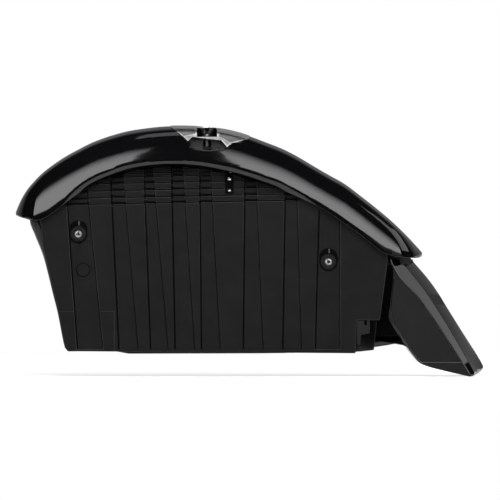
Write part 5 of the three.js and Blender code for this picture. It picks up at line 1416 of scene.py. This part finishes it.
@dataclass
class Latch:
    """Bezel with its inlays, button, post and recess, fitted to the lid's own surface."""

    lid: Lid
    left: float = -150.23
    width: float = 150.0
    top: float = 472.3
    height: float = 46.6
    back: float = -48.0
    button_x: float = -81.03
    button_y: float = -68.5
    foot_z: float = 459.0
    button_radius: float = 18.0
    button_height: float = 13.0
    stem_radius: float = 6.5
    edge: tuple[Pair, ...] = (
        (0, 1), (0.0793, 0.813), (0.1507, 0.629), (0.2127, 0.442), (0.2527, 0.279), (0.2953, 0.069),
        (0.4867, 0), (0.672, 0.069), (0.7287, 0.21), (0.7647, 0.324), (0.838, 0.373), (0.946, 0.479), (1, 0.521),
    )
    mouth: tuple[Pair, ...] = (
        (0.22, -0.5), (0.71, -0.5), (0.71, 0.208), (0.645, 0.453), (0.278, 0.592), (0.22, 0.431),
    )
    inlays: dict[str, tuple[Pair, ...]] = field(default_factory=lambda: {
        "left": ((0.172, 0.64), (0.315, 0.735), (0.3, 0.931), (0.043, 0.931)),
        "right": ((0.61, 0.63), (0.67, 0.54), (0.765, 0.385), (0.945, 0.515), (0.93, 0.55), (0.625, 0.785)),
    })
    bell: tuple[Pair, ...] = (
        (0, 0), (0.6, 0), (0.65, 0.02), (0.665, 0.06), (0.69, 0.16), (0.925, 0.8), (0.98, 0.86), (1, 0.91),
        (0.99, 0.96), (0.95, 0.99), (0.9, 1), (0.46, 1),
    )
    band_count: int = 5
    corner_facets: dict[str, tuple[Pair, ...]] = field(default_factory=lambda: {
        "left": ((-123.8, 455.9), (-116.1, 445.9), (-108.4, 454.4), (-109.1, 458.0)),
        "right": ((-53.4, 450.2), (-52.8, 447.0), (-43.4, 435.8), (-34.5, 440.0), (-47.7, 447.8)),
    })

    def outline(self, shares: Sequence[Pair]) -> list[Pair]:
        """Points in X and Z of shares of the latch."""
        return [(self.left + x * self.width, self.top - (1 - z) * self.height) for x, z in shares]

    def opening(self) -> list[Pair]:
        """Outline of the latch, open at the top."""
        points = self.outline(self.edge)
        return points + [(points[-1][0], self.top + 20), (points[0][0], self.top + 20)]

    def well(self, grow: float) -> list[bpy.types.Object]:
        """Solids of the room round the button."""
        radius = self.button_radius + 1 + grow
        deck = self.foot_z - 5.6
        round_room = Maker.turned(
            "well", [(0, 0), (radius, 0), (radius, 60), (0, 60)], Axis.Z, (self.button_x, self.button_y, deck), 64,
        )
        front = Maker.block(
            "well_front", (self.button_x - radius, -150, deck), (self.button_x + radius, self.button_y, deck + 60),
        )
        return [round_room, front]

    def build(self) -> None:
        """Builds all pieces of the latch."""
        self.bezel()
        self.button()

    def bezel(self) -> None:
        """Chrome frame with pockets for the brushed inlays."""
        bezel = self.lid.plate("latch_bezel_frame", 1.2, -1.4, grown(self.opening(), -0.3), self.back - 0.3)
        Maker.cut(bezel, Maker.prism("mouth", self.outline(self.mouth), -160, 160), *self.well(0))
        for side, shares in self.inlays.items():
            outline = self.outline(shares)
            back = self.back - 2.4
            Maker.cut(bezel, self.lid.plate("pocket", 4.0, -1.1, outline, back))
            inlay = self.lid.plate(f"{side}_latch_inlay_plate", 0.7, -0.5, grown(outline, -0.3), back - 0.3)
            Maker.soften(inlay, 0.25, 50.0)
            finished(inlay, BRUSHED, "lid", [f"{side}_latch_inlay"])
        Maker.soften(bezel, 0.45, 50.0, 3)
        finished(bezel, POLISHED, "lid", ["latch_bezel"])
        for side, corners in self.corner_facets.items():
            facet = self.lid.plate(f"{side}_bezel_corner", 1.7, -0.6, corners, self.back)
            Maker.soften(facet, 0.3, 50.0)
            finished(facet, POLISHED, "lid", ["latch_bezel"])

    def button(self) -> None:
        """Bell-shaped chrome button on its post, with a room for a key lock in its top."""
        profile = [(r * self.button_radius, h * self.button_height) for r, h in self.bell]
        lock_room = 6.3
        profile += [(lock_room, self.button_height - 0.5), (lock_room, self.button_height - 8.5), (0, self.button_height - 8.5)]
        centre = (self.button_x, self.button_y, self.foot_z)
        button = Maker.turned("latch_button_bell", profile, Axis.Z, centre, 120)
        self.reflection_bands(button)
        finished(button, CHROME, "latch_button", ["latch_button"], 40)
        # The post is very dark satin black in place of a chrome stem: painted shade and a painted dark reflection in
        # the finger recess.
        post = Maker.turned(
            "latch_button_post",
            [(0, -24), (self.stem_radius - 0.6, -24), (self.stem_radius, -23.4), (self.stem_radius, 0.5), (0, 0.5)],
            Axis.Z, centre, 64,
        )
        finished(post, SHADE_BLACK, "latch_button", ["latch_button"], 40)


    def reflection_bands(self, button: bpy.types.Object) -> None:
        """Sinks black bands into the button's flared side, the first one facing inboard: a painted dark reflection in
        the chrome, with the rougher bright metal on the side between them.
        """
        slots_of(button, CHROME, SHADE_BLACK, POLISHED, whole=0)
        Maker.only(button)
        low, high = self.foot_z + 0.1 * self.button_height, self.foot_z + 0.84 * self.button_height
        period = math.tau / self.band_count
        for polygon in button.data.polygons:
            x, y, z = polygon.center / MM
            radius = math.hypot(x - self.button_x, y - self.button_y)
            turn = math.atan2(x - self.button_x, self.button_y - y) % period
            in_band = turn < period * 0.22 or turn > period * 0.78
            on_side = low < z < high and radius > 0.6 * self.button_radius
            polygon.select = on_side and in_band
            if on_side:
                polygon.material_index = 1 if in_band else 2
        bpy.ops.object.mode_set(mode="EDIT")
        bpy.ops.mesh.select_mode(type="FACE")
        bpy.ops.mesh.inset(thickness=0.35 * MM, depth=-0.7 * MM)
        bpy.ops.mesh.select_mode(type="VERT")
        bpy.ops.object.mode_set(mode="OBJECT")


# Mount fasteners and plug


@dataclass
class MountFastener:
    """Rubber grommet with its quarter-turn stud."""

    side: str
    x: float
    z: float
    face_y: float = -114.4
    radius: float = 15.2
    bore: float = 6.6

    def build(self) -> None:
        """Builds the grommet and the stud's slotted tip."""
        face, radius = self.face_y, self.radius
        profile = [
            (self.bore, face + 1.2), (self.bore + 0.5, face + 0.3), (self.bore + 1.4, face), (radius - 3.0, face),
            (radius - 1.2, face + 0.35), (radius - 0.3, face + 1.1), (radius, face + 2.2), (radius, face + 4.5),
            (11, face + 4.5), (11, face + 6.7), (13.2, face + 6.7), (13.2, face + 9), (self.bore, face + 9),
            (self.bore, face + 1.2),
        ]
        grommet = Maker.turned(f"{self.side}_grommet_ring", profile, Axis.Y, (self.x, 0, self.z), 72)
        finished(grommet, RUBBER, "case", [f"{self.side}_mount_grommet"], 40)
        tip = self.face_y - 1.6
        stud = Maker.turned(
            f"{self.side}_stud_shaft",
            [(0, tip), (3.9, tip), (4.6, tip + 0.3), (5, tip + 1), (5, tip + 32), (0, tip + 32)],
            Axis.Y, (self.x, 0, self.z), 56,
        )
        # The slot's walls take the very dark satin black: painted shade in the narrow slot of the chrome tip.
        slots_of(stud, CHROME, SHADE_BLACK, whole=0)
        Maker.cut(stud, slots_of(Maker.block(
            "slot", (self.x - 1.1, tip - 5, self.z - 3.4), (self.x + 1.1, tip + 2.6, self.z + 3.4),
        ), CHROME, SHADE_BLACK, whole=1))
        Maker.soften(stud, 0.15, 50.0)
        finished(stud, CHROME, f"{self.side}_fastener", [f"{self.side}_mount_stud"])


@dataclass
class Plug:
    """Round blanking plug with a chamfered head."""

    x: float = -314.7
    z: float = 201.7

    def build(self) -> None:
        """Builds the plug."""
        head = -111.1
        plug = Maker.turned(
            "blanking_plug_cap",
            [
                (0, head + 0.15), (9.0, head + 0.15), (9.6, head), (11.2, head), (11.8, head + 0.25),
                (12.2, head + 0.8), (12.2, head + 1.2), (8, head + 1.2), (8, head + 3.4), (9.4, head + 3.4),
                (8, head + 6.6), (0, head + 6.6),
            ],
            Axis.Y, (self.x, 0, self.z), 64,
        )
        finished(plug, MATT, "case", ["blanking_plug"], 40)


# Hardware that keeps the frame's form, with its edges rounded

ROUNDED = {
    "latch_housing": 0.5, "striker_plate": 0.3,
    "rear_bracket": 0.35, "stay_case_bracket": 0.3, "stay_lid_bracket": 0.3, "stay_arm": 0.3, "striker": 0.3,
    "latch_hook": 0.3, "front_mount_knob": 0.8, "rear_mount_knob": 0.8,
}


# The latch housing in the finger recess and the striker plate under the lid take darker finishes than their slots:
# painted shade.
PAINTED_SHADE_FINISHES = {"latch_housing": SHADE_BLACK, "striker_plate": MATT_RECESS_SHADE}


# Studio


class Seen(Enum):
    """Which surfaces show a light."""

    MIRRORED = "mirrored"
    SCATTERED = "scattered"
    BOTH = "both"


@dataclass
class Studio:
    """Floor, soft lights and the camera."""

    distance: float = 11.0
    frame_width: float = 0.9435
    centre_z: float = 0.2395
    sensor: float = 36.0
    front_level: float = 0.02
    behind_level: float = 0.22
    plain_level: float = 0.2

    def build(self) -> None:
        """Builds the floor, the lights and the camera."""
        self.world()
        self.floor()
        self.lamp("left_softbox", (-2.7, -4.1, 1.7), (-2.7, 0, 1.7), (4.5, 2.4), 5.0, Seen.MIRRORED, 0.45)
        self.lamp("right_softbox", (2.05, -4.1, 1.92), (2.05, 0, 1.92), (3.9, 2.75), 5.0, Seen.MIRRORED, 0.32)
        self.lamp("right_low_card", (2.2, -4.1, 0.29), (2.2, 0, 0.29), (3.6, 0.5), 0.5, Seen.MIRRORED)
        self.lamp("left_low_card", (-3.5, -1.0, 0.12), (0, -1.0, 0.12), (3.0, 0.22), 1.5, Seen.MIRRORED)
        self.lamp("overhead_softbox", (0.0, -1.27, 3.1), (0, 0, 0.4), (1.2, 1.3), 1.5)
        self.lamp("right_side_softbox", (2.8, -0.6, 1.9), (0.3, 0, 0.2), (2.4, 1.8), 2.0)
        self.lamp("key", (-0.1, -0.95, 1.35), (0, -0.1, 0.2), (0.9, 0.9), 9.0, Seen.SCATTERED)
        self.camera()

    def world(self) -> None:
        """White world to the camera and behind the bag for reflections, plain and dim elsewhere."""
        world = bpy.data.worlds.new("studio_world")
        bpy.context.scene.world = world
        world.use_nodes = True
        nodes, links = world.node_tree.nodes, world.node_tree.links
        background = nodes["Background"]
        path = nodes.new("ShaderNodeLightPath")
        direction = nodes.new("ShaderNodeTexCoord")
        parts = nodes.new("ShaderNodeSeparateXYZ")
        links.new(direction.outputs["Generated"], parts.inputs["Vector"])
        behind = nodes.new("ShaderNodeMapRange")
        behind.interpolation_type = "SMOOTHSTEP"
        behind.inputs["From Min"].default_value = 0.4
        behind.inputs["From Max"].default_value = 0.62
        behind.inputs["To Min"].default_value = self.front_level
        behind.inputs["To Max"].default_value = self.behind_level
        links.new(parts.outputs["Y"], behind.inputs["Value"])
        clear = nodes.new("ShaderNodeMath")
        clear.operation = "MAXIMUM"
        links.new(path.outputs["Is Glossy Ray"], clear.inputs[0])
        links.new(path.outputs["Is Transmission Ray"], clear.inputs[1])
        shiny = nodes.new("ShaderNodeMix")
        shiny.inputs["A"].default_value = self.plain_level
        links.new(clear.outputs[0], shiny.inputs["Factor"])
        links.new(behind.outputs["Result"], shiny.inputs["B"])
        seen = nodes.new("ShaderNodeMix")
        seen.inputs["B"].default_value = 1.0
        links.new(path.outputs["Is Camera Ray"], seen.inputs["Factor"])
        links.new(shiny.outputs["Result"], seen.inputs["A"])
        links.new(seen.outputs["Result"], background.inputs["Strength"])
        background.inputs["Color"].default_value = (1, 1, 1, 1)

    def floor(self) -> None:
        """Pale floor under the bag: white to the camera and to metal, with the bag's soft shadow."""
        Maker.fresh()
        bpy.ops.mesh.primitive_plane_add(size=5.0, location=(0, 0, -0.0005))
        floor = Maker.named("studio_floor")
        material = bpy.data.materials.new("pale_floor")
        material.use_nodes = True
        nodes, links = material.node_tree.nodes, material.node_tree.links
        shader = nodes["Principled BSDF"]
        shader.inputs["Base Color"].default_value = (0.9, 0.9, 0.9, 1)
        shader.inputs["Roughness"].default_value = 0.9
        shader.inputs["Emission Color"].default_value = (1, 1, 1, 1)
        path = nodes.new("ShaderNodeLightPath")
        clear = nodes.new("ShaderNodeMath")
        clear.operation = "MAXIMUM"
        links.new(path.outputs["Is Glossy Ray"], clear.inputs[0])
        links.new(path.outputs["Is Transmission Ray"], clear.inputs[1])
        seen = nodes.new("ShaderNodeMath")
        seen.operation = "MULTIPLY_ADD"
        seen.inputs[1].default_value = 0.2
        links.new(clear.outputs[0], seen.inputs[0])
        lit = nodes.new("ShaderNodeMath")
        lit.operation = "MULTIPLY"
        lit.inputs[1].default_value = 0.72
        links.new(path.outputs["Is Camera Ray"], lit.inputs[0])
        links.new(lit.outputs[0], seen.inputs[2])
        links.new(seen.outputs[0], shader.inputs["Emission Strength"])
        floor.data.materials.append(material)

    def lamp(
        self, name: str, place: Point, target: Point, size: Pair, brightness: float, seen: Seen = Seen.BOTH,
        full: float = 1.0,
    ) -> None:
        """Adds one soft light aimed at a point.

        Args:
            name: Name of the light.
            place: Its middle, in metres.
            target: Point that it faces.
            size: Width and height in metres.
            brightness: Light per area and solid angle.
            seen: Whether it is mirrored by gloss, scattered by matt surfaces, or both.
            full: Share of its height, from the foot, up to which it keeps its full brightness.
        """
        light = bpy.data.lights.new(name, "AREA")
        light.shape = "RECTANGLE"
        light.size, light.size_y = size
        light.energy = brightness * math.pi * size[0] * size[1]
        if full < 1:
            self.fade(light, full)
        lamp = bpy.data.objects.new(name, light)
        bpy.context.collection.objects.link(lamp)
        lamp.location = place
        lamp.rotation_mode = "QUATERNION"
        lamp.rotation_quaternion = (Vector(target) - Vector(place)).to_track_quat("-Z", "Y")
        lamp.visible_glossy = seen is not Seen.SCATTERED
        lamp.visible_diffuse = seen is not Seen.MIRRORED

    @staticmethod
    def fade(light: bpy.types.Light, full: float) -> None:
        """Lets a light fade out towards its top, above a share of its height."""
        light.use_nodes = True
        nodes, links = light.node_tree.nodes, light.node_tree.links
        geometry = nodes.new("ShaderNodeNewGeometry")
        parts = nodes.new("ShaderNodeSeparateXYZ")
        links.new(geometry.outputs["Parametric"], parts.inputs["Vector"])
        fall = nodes.new("ShaderNodeMapRange")
        fall.interpolation_type = "SMOOTHSTEP"
        fall.inputs["From Min"].default_value = full
        fall.inputs["To Min"].default_value = 1.0
        fall.inputs["To Max"].default_value = 0.0
        links.new(parts.outputs["Y"], fall.inputs["Value"])
        links.new(fall.outputs["Result"], nodes["Emission"].inputs["Strength"])

    def camera(self) -> None:
        """Camera square on to the inboard side, as in the photograph."""
        data = bpy.data.cameras.new("photo_camera")
        camera = bpy.data.objects.new("photo_camera", data)
        bpy.context.collection.objects.link(camera)
        plane = FORM.inboard_face * MM
        data.sensor_width = self.sensor
        data.lens = self.sensor * self.distance / self.frame_width
        data.clip_end = 200.0
        camera.location = (0.0004, plane - self.distance, self.centre_z)
        camera.rotation_euler = (math.pi / 2, 0, 0)
        data.dof.use_dof = False
        bpy.context.scene.camera = camera


FINISHES = {
    "gloss_black": GLOSS, "matt_black": MATT, "liner_black": LINER, "rubber": RUBBER, "chrome": CHROME,
    "brushed": BRUSHED, "steel": STEEL, "dark_steel": COATED,
}


def dress_nodes(frame: dict) -> None:
    """Gives every frame node the finish of its slot."""
    slots = {entry["node"]: entry["material_slot"] for entry in frame["record"]["subparts"]}
    for name, node in frame["nodes"].items():
        node.data.materials.clear()
        node.data.materials.append(FINISHES[slots[name]].material())


def main() -> None:
    """Builds the studio and every piece, in order."""
    logging.basicConfig(level=logging.INFO, format="%(message)s")
    bpy.ops.object.select_all(action="SELECT")
    bpy.ops.object.delete()
    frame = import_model()
    bpy.context.scene.view_settings.view_transform = "Standard"
    dress_nodes(frame)
    lid = Lid()
    latch = Latch(lid)
    lid.build(latch.opening(), latch.back)
    latch.build()
    CaseShell().build()
    Tail().build()
    mounts = [MountFastener("front", -323.96, 269.705), MountFastener("rear", 148.54, 217.218)]
    plug = Plug()
    InnerPanel().build(mounts, plug)
    for mount in mounts:
        mount.build()
    plug.build()
    bodies = {node: body for body, members in frame["record"]["behaviour"]["bodies"].items() for node in members}
    slots = {entry["node"]: entry["material_slot"] for entry in frame["record"]["subparts"]}
    for node, width in ROUNDED.items():
        refined(node, frame, PAINTED_SHADE_FINISHES.get(node, FINISHES[slots[node]]), width, bodies[node])
    Studio().build()


if __name__ == "__main__":
    main()
